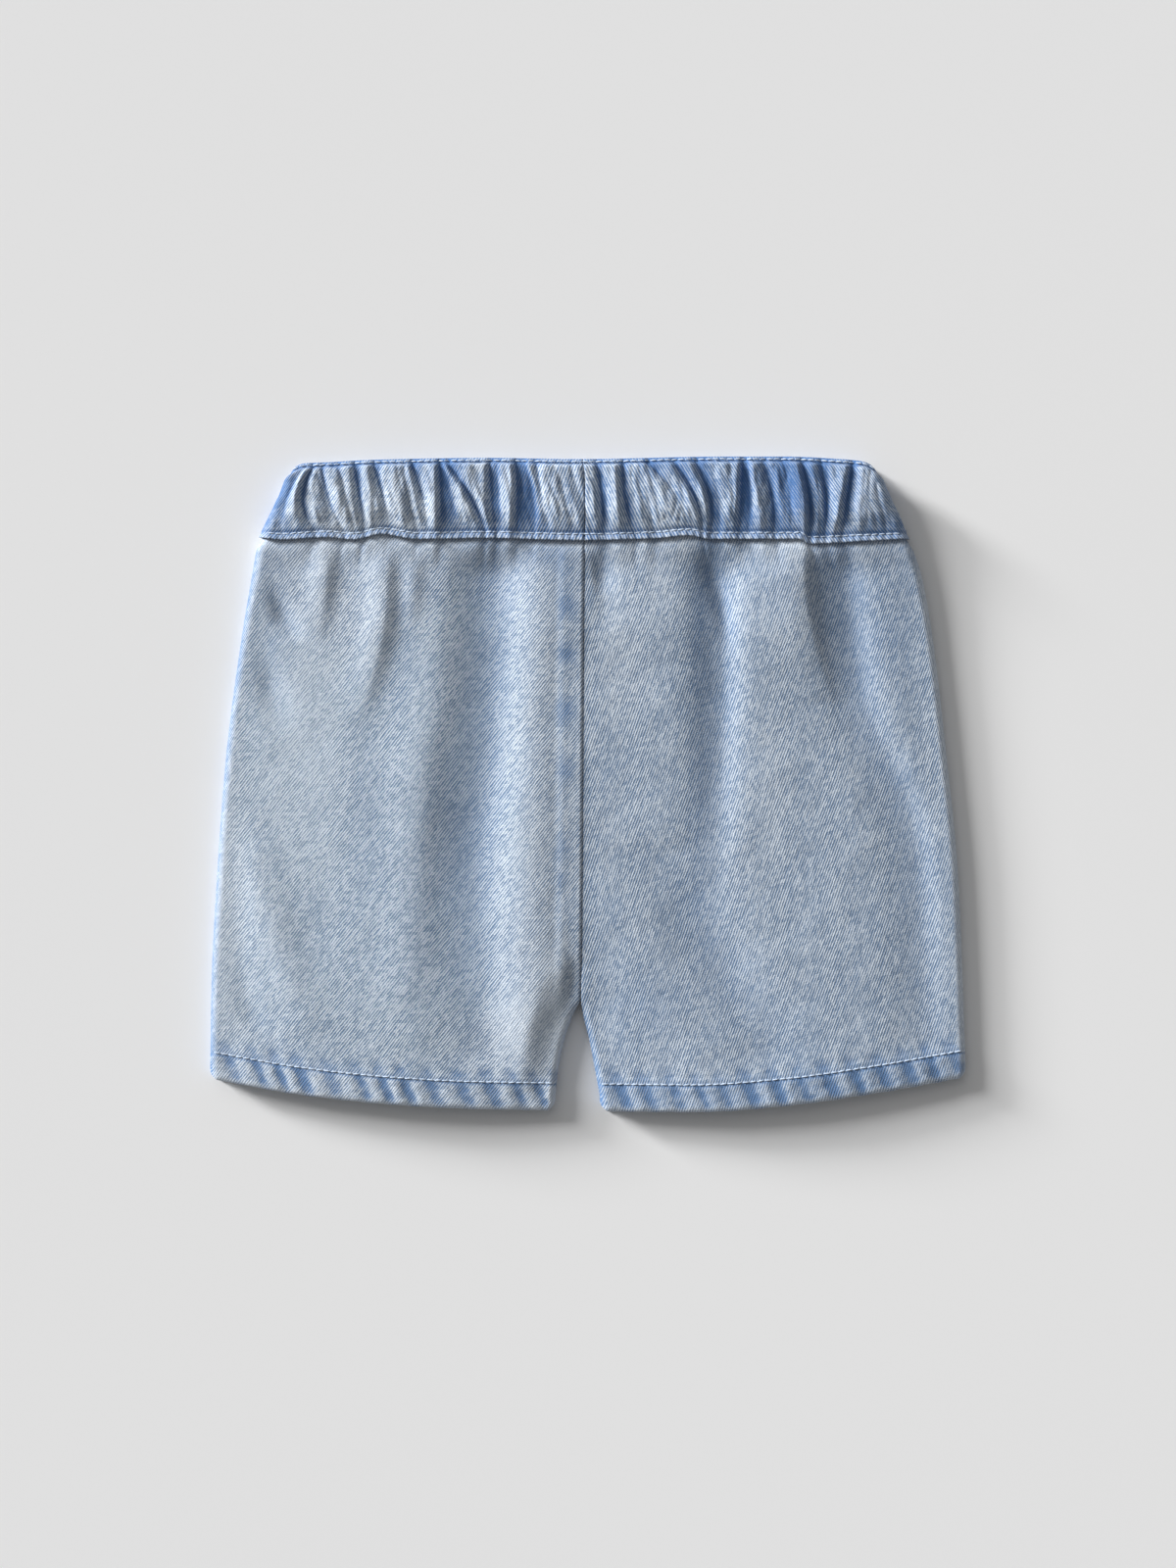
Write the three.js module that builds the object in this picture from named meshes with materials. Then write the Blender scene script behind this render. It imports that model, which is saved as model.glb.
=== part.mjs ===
// A child's pull-on denim shorts, lying flat with the back showing. All sizes are in millimetres.
// +X is the right side as seen from above, +Y is towards the waist and +Z is up.
// The origin is under the middle of the garment, on the surface that it lies on.
import * as THREE from "three";

// Cloth, and how its layers stack
const clothWall = 1.0;
const seamGap = 0.3;
const elasticWall = 1.0;
const layerStep = clothWall + seamGap;
const foldedDepth = clothWall + layerStep; // two layers of a turned edge
const casingDepth = foldedDepth + elasticWall + seamGap; // outer layer, elastic, inner layer
const restSpace = 1.5; // between the back and the front of the waistband
const frontHollow = 0.9; // height of the hollows between the front's gathers, which lie on the surface
const bandHeight = 2 * casingDepth + frontHollow + restSpace; // the waistband, without its gathers
const bandRadius = (bandHeight - seamGap) / 2; // turn of the waistband at its two sides

// The body
const sideHeight = 6.4; // over the side seams, halfway down
const hemHeight = 6.4;
const crownRise = 2.6; // how much more the middle of a leg stands up
const thinnest = 3.4; // least height of the back over the surface below
const hemTurn = 12; // cloth turned up inside each leg
const allowance = 9; // width of the centre back seam's turned cloth
const crotchY = -88;
const rippleReach = 9; // the waistband's small gathers die out over this length
const foldHeight = 1.45; // of the legs' folds, for each mm of lift in their table
const foldFade = 9; // and so do the ends of the legs' folds
const waistFall = 26; // the cloth comes down from the waistband over this length
const seamRise = 1.6; // height of the gathers at the centre back seam
const mostGrowth = 1.6; // most that a wall measured upright grows on a slope
const bandCorner = 9;
const hemCorner = 4;
const bandFootY = 97; // the waistband's edges and middle at its two sides
const bandTopY = 128;
const bandMiddleY = 112;

// Lengths over which one form passes into the next, as a start and an end
const sideComesOut = [0, 5]; // below the waistband, where a leg's side leaves the casing
const underLeaves = [0, 8]; // and where its underside does
const foldsBegin = [0, 16];
const turnedClothBegins = [0, 6];
const crownBegins = [0, 40];
const foldsEnd = [2, 12]; // over the hem
const hemHeightBegins = [26, 6];
const legsPart = [5, -4]; // about the crotch
const legsRise = [60, -34]; // a leg's crown moves to its own middle
const inseamsLevel = [14, -10]; // and its folds end before the inseam
const frontHollowsBegin = [0, 12]; // in from the waistband's sides

// The outline: how far each side reaches at each height
const outline = [
  { y: 131, left: -119.2, right: 116.0 },
  { y: 120, left: -123.2, right: 119.8 },
  { y: 106, left: -128.6, right: 125.2 },
  { y: 97, left: -131.4, right: 128.2 },
  { y: 82, left: -134.2, right: 133.2 },
  { y: 58, left: -138.2, right: 137.4 },
  { y: 12, left: -144.2, right: 142.8 },
  { y: -35, left: -147.8, right: 147.4 },
  { y: -80, left: -150.1, right: 149.4 },
  { y: -122, left: -150.7, right: 150.7 },
];
// The centre back seam, and below the crotch the two inseams
const middleEdges = [
  { y: 131, left: -2.0, right: -2.0 },
  { y: 113, left: -1.1, right: -1.1 },
  { y: 90, left: -1.5, right: -1.5 },
  { y: -70, left: -2.6, right: -2.6 },
  { y: -86, left: -3.2, right: -2.8 },
  { y: -92, left: -6.0, right: -2.0 },
  { y: -101, left: -9.2, right: 0.2 },
  { y: -112, left: -11.6, right: 2.4 },
  { y: -124, left: -13.0, right: 4.6 },
];
// The waistband's upper and lower edges
const bandTop = [
  { x: -118, y: 127.4 },
  { x: -104, y: 127.9 },
  { x: -86, y: 128.9 },
  { x: -40, y: 129.7 },
  { x: -4, y: 129.2 },
  { x: 54, y: 130.2 },
  { x: 78, y: 130.2 },
  { x: 103, y: 129.0 },
  { x: 115, y: 127.6 },
];
const bandFoot = [
  { x: -131, y: 98.2 },
  { x: -122, y: 97.0 },
  { x: -104, y: 97.9 },
  { x: -93, y: 97.0 },
  { x: -82, y: 99.2 },
  { x: -68, y: 97.2 },
  { x: -40, y: 97.6 },
  { x: -4, y: 96.7 },
  { x: 27, y: 97.5 },
  { x: 40, y: 98.6 },
  { x: 49, y: 97.2 },
  { x: 84, y: 97.2 },
  { x: 88, y: 95.4 },
  { x: 110, y: 96.4 },
  { x: 129, y: 97.5 },
];
// The lower edge of each leg, by its share of the way from the side to the inseam
const hemEdges = [
  { share: 0, left: -118.0, right: -117.4 },
  { share: 0.25, left: -123.6, right: -123.4 },
  { share: 0.5, left: -127.2, right: -128.2 },
  { share: 0.75, left: -129.2, right: -130.6 },
  { share: 1, left: -130.0, right: -130.4 },
];

// The gathers on the back of the waistband, from the side to the centre back seam.
// x is where a crest or a hollow runs near the top, in the middle and near the foot of the band,
// and rise is how far it stands over the flat casing at those three places.
const gatherStations = [0.87, 0.49, 0.14];
const stationReach = 0.06; // a gather runs straight on from this far past its first and last places
const gathersLeft = [
  { x: [-114.0, -120.0, -121.3], rise: [0.8, 0.3, 0.2] },
  { x: [-112.6, -116.4, -112.8], rise: [1.6, 2.2, 1.4] },
  { x: [-110.4, -113.2, -109.6], rise: [0.2, 0.0, 0.0] },
  { x: [-108.0, -109.2, -105.0], rise: [1.4, 1.7, 1.6] },
  { x: [-105.4, -102.8, -97.8], rise: [0.4, 0.5, 0.2] },
  { x: [-102.4, -98.0, -94.8], rise: [1.4, 2.2, 1.4] },
  { x: [-99.0, -95.7, -93.0], rise: [0.6, 1.3, 1.2] },
  { x: [-94.8, -93.2, -91.4], rise: [1.6, 1.9, 1.4] },
  { x: [-92.4, -90.4, -89.0], rise: [0.0, 0.0, 0.0] },
  { x: [-87.2, -86.4, -86.2], rise: [1.8, 2.0, 1.6] },
  { x: [-84.6, -81.4, -79.2], rise: [0.3, 0.5, 0.3] },
  { x: [-76.6, -75.4, -72.6], rise: [1.8, 2.5, 1.6] },
  { x: [-73.0, -71.4, -68.2], rise: [1.6, 0.9, 0.1] },
  { x: [-71.4, -68.4, -65.6], rise: [1.8, 1.9, 1.1] },
  { x: [-69.2, -65.6, -63.4], rise: [0.1, 0.8, 1.3] },
  { x: [-61.2, -60.6, -60.6], rise: [2.0, 2.5, 1.9] },
  { x: [-58.8, -58.2, -58.2], rise: [0.0, 0.0, 0.0] },
  { x: [-57.4, -54.2, -51.4], rise: [0.3, 0.5, 0.5] },
  { x: [-55.8, -49.2, -44.2], rise: [1.2, 2.3, 1.9] },
  { x: [-54.4, -46.4, -41.4], rise: [0.2, 0.0, 0.0] },
  { x: [-49.2, -42.6, -39.4], rise: [1.7, 2.1, 1.7] },
  { x: [-41.0, -40.6, -38.2], rise: [1.9, 1.6, 1.2] },
  { x: [-39.0, -38.0, -36.8], rise: [0.4, 0.1, 0.0] },
  { x: [-36.0, -35.6, -34.8], rise: [0.7, 0.4, 0.6] },
  { x: [-30.8, -30.6, -31.2], rise: [2.1, 2.5, 2.1] },
  { x: [-28.4, -27.8, -28.2], rise: [0.0, 0.0, 0.0] },
  { x: [-24.4, -21.6, -21.2], rise: [0.2, 0.1, 0.1] },
  { x: [-22.8, -19.6, -19.6], rise: [1.3, 1.0, 0.9] },
  { x: [-20.4, -18.2, -17.2], rise: [0.6, 1.1, 0.9] },
  { x: [-17.2, -16.4, -13.4], rise: [1.5, 1.7, 1.4] },
  { x: [-6.6, -6.4, -6.4], rise: [1.4, 1.6, 1.4] },
];
const gathersRight = [
  { x: [112.4, 116.0, 118.2], rise: [1.5, 1.6, 0.6] },
  { x: [109.4, 108.2, 107.6], rise: [1.9, 2.5, 1.9] },
  { x: [104.6, 102.8, 101.2], rise: [0.0, 0.0, 0.0] },
  { x: [102.0, 100.0, 97.6], rise: [1.9, 2.3, 1.8] },
  { x: [92.8, 94.4, 94.2], rise: [0.1, 0.0, 0.0] },
  { x: [89.4, 91.2, 90.8], rise: [1.6, 1.8, 1.4] },
  { x: [85.4, 88.0, 88.2], rise: [0.2, 0.0, 0.0] },
  { x: [83.0, 85.6, 85.8], rise: [2.0, 2.7, 2.5] },
  { x: [77.8, 80.2, 80.6], rise: [0.5, 1.5, 1.7] },
  { x: [74.6, 77.4, 78.0], rise: [1.6, 1.7, 1.5] },
  { x: [70.2, 73.2, 74.0], rise: [0.6, 0.1, 0.0] },
  { x: [65.4, 67.2, 68.6], rise: [2.1, 2.5, 2.1] },
  { x: [63.2, 64.2, 64.0], rise: [0.1, 0.1, 0.1] },
  { x: [61.4, 60.8, 60.0], rise: [0.0, 0.0, 0.0] },
  { x: [59.4, 58.8, 57.6], rise: [1.8, 2.0, 1.7] },
  { x: [56.4, 57.6, 56.4], rise: [1.2, 1.8, 1.7] },
  { x: [52.8, 56.2, 55.2], rise: [1.9, 2.0, 1.8] },
  { x: [47.8, 51.6, 51.8], rise: [0.9, 0.8, 0.3] },
  { x: [43.8, 48.2, 48.8], rise: [0.0, 0.0, 0.0] },
  { x: [40.8, 45.8, 47.0], rise: [1.9, 2.3, 1.9] },
  { x: [35.6, 42.4, 45.3], rise: [0.2, 0.2, 0.8] },
  { x: [33.0, 39.8, 43.6], rise: [1.7, 2.5, 2.3] },
  { x: [25.6, 35.4, 39.0], rise: [0.2, 1.4, 2.2] },
  { x: [23.6, 31.0, 35.0], rise: [1.7, 2.1, 2.1] },
  { x: [20.9, 24.0, 25.8], rise: [1.5, 1.2, 0.3] },
  { x: [18.4, 20.2, 22.4], rise: [1.4, 1.6, 1.6] },
  { x: [13.8, 14.8, 17.8], rise: [0.1, 0.0, 0.0] },
  { x: [10.8, 11.4, 12.6], rise: [1.9, 2.3, 1.9] },
  { x: [3.8, 5.8, 6.2], rise: [0.2, 0.0, 0.0] },
  { x: [0.8, 2.4, 3.0], rise: [1.7, 1.9, 1.6] },
];

// The soft folds of the legs. Each runs through its points from the waist down, and lift is its height
// at each. before and after are how far it spreads to the left and to the right.
const legFolds = [
  {
    points: [[-36, 98], [-37, 62], [-40, 16], [-45, -39], [-42, -104]],
    lift: [-2.3, -2.3, -2.1, -1.8, -0.9], before: 16, after: 12,
  },
  {
    points: [[-58, 92], [-61, 40], [-67, 0], [-72, -80]],
    lift: [0.4, 0.7, 0.9, 0.4], before: 12, after: 9,
  },
  {
    points: [[-80, 98], [-81, 70], [-86, 43], [-92, 22]],
    lift: [1.4, 1.5, 0.8, 0.0], before: 8, after: 4.5,
  },
  {
    points: [[-103, 98], [-105, 78], [-107, 56]],
    lift: [1.3, 1.1, 0.0], before: 7, after: 4,
  },
  {
    points: [[-69, 97], [-70, 78], [-71, 58]],
    lift: [0.9, 0.8, 0.0], before: 5, after: 4,
  },
  {
    points: [[-130, 83], [-121, 66], [-115, 56]],
    lift: [-0.6, -1.1, 0.0], before: 5, after: 5,
  },
  {
    points: [[-134, 56], [-126, 36], [-121, 16]],
    lift: [-0.3, -0.9, 0.0], before: 7, after: 7,
  },
  {
    points: [[-22, 98], [-22, 60], [-23, 0], [-23, -80], [-19, -112]],
    lift: [0.9, 1.2, 1.1, 1.3, 1.2], before: 12, after: 12,
  },
  {
    points: [[6.5, 98], [6.5, 74], [5.5, 50]],
    lift: [-1.4, -1.2, 0.0], before: 4, after: 5,
  },
  {
    points: [[53, 98], [53, 70], [53, 39], [52, 0], [50, -40]],
    lift: [-2.5, -2.5, -2.1, -1.5, -0.5], before: 11, after: 6,
  },
  {
    points: [[66, 92], [65, 50], [64, 20], [64, -10]],
    lift: [0.4, 0.2, 0.0, 0.0], before: 8, after: 14,
  },
  {
    points: [[85, 98], [86, 78], [90, 55], [97, 32]],
    lift: [2.3, 2.1, 1.2, 0.0], before: 16, after: 3.5,
  },
  {
    points: [[99, 98], [103, 62], [108, 35], [120, 5], [132, -30], [137, -100]],
    lift: [-1.9, -2.1, -1.6, -1.2, -1.2, -0.8], before: 14, after: 8,
  },
  {
    points: [[28, -30], [50, -66], [72, -104]],
    lift: [-0.5, -1.3, -0.8], before: 16, after: 15,
  },
  {
    points: [[6, -60], [23, -82], [43, -104]],
    lift: [0.0, 0.3, 0.2], before: 9, after: 9,
  },
  {
    points: [[-131, -32], [-125, -60], [-113, -92]],
    lift: [0.3, 1.0, 0.5], before: 9, after: 10,
  },
  {
    points: [[-143, -60], [-136, -88], [-124, -106]],
    lift: [-0.3, -0.6, -0.2], before: 6, after: 6,
  },
  {
    points: [[-5.5, -68], [-7, -84], [-9.5, -98]],
    lift: [0.0, -1.7, -0.4], before: 3, after: 4,
  },
  {
    points: [[-13, -62], [-12, -84], [-15, -104]],
    lift: [0.2, 1.0, 0.4], before: 9, after: 4,
  },
];

// The front's gathers lie on the surface below, so only the hollows between them rise from it.
const frontGathers = 23;
const frontSpan = 246;
const frontUneven = [
  { turn: 1.3, length: 17 },
  { turn: 0.7, length: 7.3 },
];

// How finely each piece is divided
const turnSteps = 3;
const foldSteps = 3;
const gatherStride = 4.5;
const frontStations = 11;
const spreadColumns = 34;
const elasticColumns = 26;
const backRows = [1, 6];
const backSparseRows = [12, 20, 30];
const frontRows = [1, 8];
const frontSparseRows = [20];
const longRows = 8;
const casingRows = [0, 0.14, 0.3, 0.49, 0.68, 0.87, 1];
const frontCasingRows = [0, 0.2, 0.5, 0.8, 1];
const tuckedRows = [0.14, 0];
const innerRows = [1, 0.5, 0];
const elasticRows = [0.78, 0.5, 0.21];

const denim = new THREE.MeshStandardMaterial({ color: 0xa9bdd4, roughness: 0.93, metalness: 0 });
const bandDenim = new THREE.MeshStandardMaterial({ color: 0x93abc8, roughness: 0.93, metalness: 0 });
const webbing = new THREE.MeshStandardMaterial({ color: 0xe9e8e2, roughness: 0.8, metalness: 0 });

const mix = (a, b, share) => a + (b - a) * share;
const clamp = (value, low, high) => Math.min(high, Math.max(low, value));

function ease(low, high, value) {
  const s = clamp((value - low) / (high - low), 0, 1);
  return s * s * (3 - 2 * s);
}

// A smooth curve through one column of a table, which never swings past its rows.
function curve(table, key, column) {
  const rows = [...table].sort((a, b) => a[key] - b[key]);
  const steps = rows.slice(1).map((b, i) => (b[column] - rows[i][column]) / (b[key] - rows[i][key]));
  const slopes = rows.map((_, i) => {
    const before = steps[Math.max(0, i - 1)];
    const after = steps[Math.min(i, steps.length - 1)];
    return before * after > 0 ? (2 * before * after) / (before + after) : 0;
  });
  return (place) => {
    let i = 0;
    while (i < rows.length - 2 && rows[i + 1][key] < place) i++;
    const span = rows[i + 1][key] - rows[i][key];
    const s = clamp((place - rows[i][key]) / span, 0, 1);
    const bend = slopes[i] * s * (1 - s) * (1 - s) - slopes[i + 1] * s * s * (1 - s);
    return mix(rows[i][column], rows[i + 1][column], s * s * (3 - 2 * s)) + span * bend;
  };
}

const footAt = curve(bandFoot, "x", "y");
const topAt = curve(bandTop, "x", "y");
const legFoldCurves = legFolds.map((fold) => {
  const rows = fold.points.map(([x, y], i) => ({ x, y, lift: fold.lift[i] }));
  return {
    ...fold,
    high: rows[0].y,
    low: rows[rows.length - 1].y,
    x: curve(rows, "y", "x"),
    height: curve(rows, "y", "lift"),
  };
});

// Height that the soft folds give a leg at x, y
function foldLift(x, y) {
  let lift = 0;
  for (const fold of legFoldCurves) {
    const place = clamp(y, fold.low, fold.high);
    const offset = x - fold.x(place);
    const spread = offset < 0 ? fold.before : fold.after;
    const beyond = Math.max(0, fold.low - y, y - fold.high) / foldFade;
    lift += fold.height(place) * Math.exp(-((offset / spread) ** 2) - beyond ** 2);
  }
  return lift * foldHeight;
}

// The value at a share of the waistband's height, on a curve through those at the three stations
function overStations([atTop, atMiddle, atFoot], share) {
  const [top, middle, foot] = gatherStations;
  const v = clamp(share, foot - stationReach, top + stationReach);
  return (
    (atTop * (v - middle) * (v - foot)) / ((top - middle) * (top - foot)) +
    (atMiddle * (v - top) * (v - foot)) / ((middle - top) * (middle - foot)) +
    (atFoot * (v - top) * (v - middle)) / ((foot - top) * (foot - middle))
  );
}

// The stitches near both edges of the waistband hold its gathers down.
const stitchHold = (v) => mix(0.5, 1, ease(0, 0.14, v)) * mix(1, 0.7, ease(0.87, 1, v));

// Everything about one half of the garment. out points from the centre back seam to the side.
function halfOf(name, out, gathers) {
  const side = curve(outline, "y", name);
  const seam = curve(middleEdges, "y", name);
  const middle = (y) => seam(y) + (out * seamGap) / 2;
  const footY = footAt(side(bandFootY));
  const topY = topAt(side(bandTopY));
  const bandSide = (v) => side(mix(footY, topY, v));
  const stations = gathers.map(({ x, rise }) => ({
    x: (v) => overStations(x, v),
    rise: (v) => Math.max(0, overStations(rise, v)) * stitchHold(v),
  }));
  const bandMiddle = (v) => middle(mix(footAt(0), topAt(0), v));
  // The seam's own turned cloth keeps its edge up.
  stations.push({ x: bandMiddle, rise: (v) => seamRise * stitchHold(v) });
  const frontLine = [];
  for (let i = 1; i <= frontStations; i++) {
    const x = (v) => mix(bandSide(v) - out * bandRadius, bandMiddle(v), i / frontStations);
    frontLine.push({ x, rise: () => 0 });
  }
  return { out, side, middle, footY, bandSide, stations, frontLine, hem: curve(hemEdges, "share", name) };
}
const left = halfOf("left", -1, gathersLeft);
const right = halfOf("right", 1, gathersRight);

// The roll of the cloth over a side fold, from the fold to where the cloth lies flat
function sideTurn(half, rise = () => 0) {
  const places = [];
  for (let i = turnSteps; i >= 0; i--)
    places.push({
      half,
      turn: i / turnSteps,
      x: (v) => half.bandSide(v) - half.out * bandRadius * (1 - Math.sin((i / turnSteps) * (Math.PI / 2))),
      rise: (v) => rise(v) * (1 - i / turnSteps),
      growth: () => 1,
      kept: true,
    });
  return places;
}

// The places across one half, from its side fold to its centre seam, which the band and the leg share.
// A place that is kept also divides the leg further down.
function placesOf(half, stations) {
  const places = sideTurn(half, stations[0].rise);
  const start = places[turnSteps];
  const line = [start, ...stations];
  for (let i = 0; i < line.length - 1; i++) {
    const [a, b] = [line[i], line[i + 1]];
    const last = i === line.length - 2;
    const parts = last ? turnSteps : Math.max(1, Math.round(Math.abs(b.x(0.5) - a.x(0.5)) / gatherStride));
    const growth = (v) => Math.hypot(1, (b.rise(v) - a.rise(v)) / (b.x(v) - a.x(v)));
    for (let k = 1; k <= parts; k++)
      places.push({
        half,
        x: (v) => mix(a.x(v), b.x(v), k / parts),
        rise: (v) => mix(a.rise(v), b.rise(v), last ? k / parts : ease(0, 1, k / parts)),
        growth: (v) => Math.min(mostGrowth, k === parts ? mix(1, growth(v), 0.5) : growth(v)),
        kept: last || (i + 1) % 2 === 0 || i === line.length - 3,
        inseam: last ? k / parts : undefined,
      });
  }
  const flatEnd = places[places.length - 1 - turnSteps].x(0);
  const flatStart = start.x(0);
  const seamX = places[places.length - 1].x(0);
  for (const place of places) {
    place.share = clamp((place.x(0) - flatStart) / (flatEnd - flatStart), 0, 1);
    if (place.turn) place.share = 0;
    place.foot = footAt(place.x(0));
  }
  places.flatWidth = Math.abs(seamX - flatEnd);
  return places;
}

const cornerCut = (radius, inset) =>
  inset >= radius ? 0 : radius - Math.sqrt(radius ** 2 - (radius - Math.max(0, inset)) ** 2);

// A point of the waistband at share v of its height, raised by lift over the flat casing.
// up is 1 on the back and -1 on the front.
function bandPoint(place, v, lift, up) {
  const x = place.x(v);
  const angle = ((place.turn ?? 0) * Math.PI) / 2;
  const nearest = Math.min(x - left.bandSide(v), right.bandSide(v) - x);
  const top = topAt(x) - cornerCut(bandCorner, nearest);
  const level = up > 0 ? bandHeight : 0;
  const normal = new THREE.Vector3((place.half?.out ?? 0) * Math.sin(angle), 0, up * Math.cos(angle));
  const drop = bandRadius * (1 - Math.cos(angle));
  return new THREE.Vector3(x, mix(footAt(x), top, v), level - up * drop).addScaledVector(normal, lift);
}

// How much room the front casing has for its hollows, and how far they rise
function frontRoom(place) {
  if (place.turn) return 0;
  const x = place.x(0.5);
  const inset = Math.min(x - left.side(bandMiddleY), right.side(bandMiddleY) - x) - bandRadius;
  return frontHollow * ease(...frontHollowsBegin, inset);
}

function hollowRise(place, v) {
  const x = place.x(0.5);
  let phase = (x / frontSpan) * frontGathers * 2 * Math.PI;
  for (const { turn, length } of frontUneven) phase += turn * Math.sin(x / length);
  const wave = ease(0.4, 1, 0.5 + 0.5 * Math.sin(phase));
  return frontRoom(place) * wave * ease(0.15, 0.4, v) * ease(1.02, 0.85, v);
}

// The outer surface of a leg, at a height over its hem, as a point and the way that it faces
function legPoint(places, place, above, back) {
  const { half } = place;
  const hem = half.hem(place.share);
  const rounding = place.turn ?? place.inseam ?? 0;
  const hemRadius = (hemHeight - seamGap) / 2;
  const inset = hemRadius * (1 - Math.sin((rounding * Math.PI) / 2));
  const cut = cornerCut(hemCorner, inset);
  const y = hem + above + (rounding > 0 ? cut * ease(hemTurn, 0, above) : 0);
  const below = place.foot - y;
  const down = clamp(below / (place.foot - hem), 0, 1);
  const covered = layerStep * (1 - ease(...sideComesOut, below));
  const sideX = half.side(mix(half.footY, half.hem(0), down)) - half.out * covered;
  const middleY = mix(footAt(0), half.hem(1), down);
  const middleX = half.middle(middleY);
  const parted = ease(...legsPart, middleY - crotchY);

  const waist = Math.exp(-((Math.max(0, below) / waistFall) ** 2));
  const hemGain = (hemHeight - sideHeight) * ease(...hemHeightBegins, above);
  const edge = mix(sideHeight, bandHeight - layerStep, waist) + hemGain;
  const tucked = 1 - ease(...underLeaves, below);
  const floor = (layerStep + frontRoom(place)) * tucked;
  const rollFloor = layerStep * tucked;
  const radius = (edge - rollFloor - seamGap) / 2;
  const sideStart = sideX - half.out * radius;
  const middleStart = middleX + half.out * mix(places.flatWidth, radius, parted);

  let x = mix(sideStart, middleStart, place.share);
  let angle = 0;
  let facing = 0;
  if (place.turn) {
    angle = (place.turn * Math.PI) / 2;
    facing = half.out;
    x = sideX - half.out * radius * (1 - Math.sin(angle));
  } else if (place.inseam) {
    const quarter = (place.inseam * Math.PI) / 2;
    angle = quarter * parted;
    facing = -half.out;
    const joined = places.flatWidth * (1 - place.inseam);
    x = middleX + half.out * mix(joined, radius * (1 - Math.sin(quarter)), parted);
  }
  const drop = radius * (1 - Math.cos(angle));
  const up = back ? 1 : -1;
  const normal = new THREE.Vector3(facing * Math.sin(angle), 0, up * Math.cos(angle));
  if (!back) {
    const level = place.turn ? rollFloor : floor;
    return { at: new THREE.Vector3(x, y, level + drop), normal, wall: clothWall };
  }

  const byInseam = mix(1, 1 - ease(0.9, 1, place.share), ease(...inseamsLevel, middleY - crotchY));
  const inward = ease(0, 0.1, place.share) * byInseam;
  const arch = Math.sin(Math.PI * place.share * mix(0.5, 1, ease(...legsRise, middleY - crotchY)));
  const crown = crownRise * arch * ease(...crownBegins, below);
  const folds = foldLift(x, y) * ease(...foldsBegin, below) * ease(...foldsEnd, above);
  const slope = (foldLift(x + 1, y) - foldLift(x - 1, y)) / 2;
  const wave = place.rise(0) * Math.exp(-((below / rippleReach) ** 2));
  // The seam's turned cloth lies under the left leg.
  const overTurned = half.out < 0 ? ease(allowance + 2, allowance, (x - middleX) * half.out) : 0;
  const turned = clothWall * overTurned * (1 - parted) * ease(...turnedClothBegins, below);
  const height = Math.max(edge + wave + (crown + folds) * inward, thinnest) + turned;
  const wall = clothWall * mix(1, Math.min(mostGrowth, Math.hypot(1, slope)), inward) + turned;
  return { at: new THREE.Vector3(x, y, height - drop), normal, wall };
}

const sunk = (surface, depth) => surface.at.clone().addScaledVector(surface.normal, -depth);

// Closes a sheet. Both of its sides are lists of rows, and each row is a list of points with their places.
// Neighbouring rows may have different numbers of points. A ring joins each row's end to its start.
function sheet(name, outer, inner, material, ring = false) {
  const positions = [];
  const numbered = (rows) =>
    rows.map((row) => {
      const points = row.map(({ s, p }) => {
        positions.push(p.x, p.y, p.z);
        return { s, id: positions.length / 3 - 1 };
      });
      return ring ? [...points, { s: Infinity, id: points[0].id }] : points;
    });
  const index = [];
  const strip = (a, b) => {
    let i = 0;
    let j = 0;
    while (i < a.length - 1 || j < b.length - 1) {
      const first = j === b.length - 1 || (i < a.length - 1 && a[i + 1].s <= b[j + 1].s);
      index.push(a[i].id, first ? a[i + 1].id : b[j + 1].id, b[j].id);
      if (first) i++;
      else j++;
    }
  };
  const outside = numbered(outer);
  const inside = numbered(inner);
  for (let k = 0; k < outside.length - 1; k++) {
    strip(outside[k], outside[k + 1]);
    strip(inside[k + 1], inside[k]);
  }
  strip(inside[0], outside[0]);
  strip(outside[outside.length - 1], inside[inside.length - 1]);
  if (!ring) {
    const down = (rows, pick) => rows.map((row, k) => ({ s: k, id: pick(row).id }));
    const firstOf = (row) => row[0];
    const lastOf = (row) => row[row.length - 1];
    strip(down(outside, firstOf), down(inside, firstOf));
    strip(down(inside, lastOf), down(outside, lastOf));
  }
  const geometry = new THREE.BufferGeometry();
  geometry.setAttribute("position", new THREE.Float32BufferAttribute(positions, 3));
  geometry.setIndex(enclosed(positions, index) < 0 ? index.reverse() : index);
  geometry.computeVertexNormals();
  const mesh = new THREE.Mesh(geometry, material);
  mesh.name = name;
  return mesh;
}

// Volume inside a list of triangles, which is below zero when they face inwards
function enclosed(positions, index) {
  const corner = (i) => new THREE.Vector3().fromArray(positions, 3 * index[i]);
  let volume = 0;
  for (let i = 0; i < index.length; i += 3)
    volume += corner(i).dot(corner(i + 1).cross(corner(i + 2))) / 6;
  return volume;
}

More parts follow.
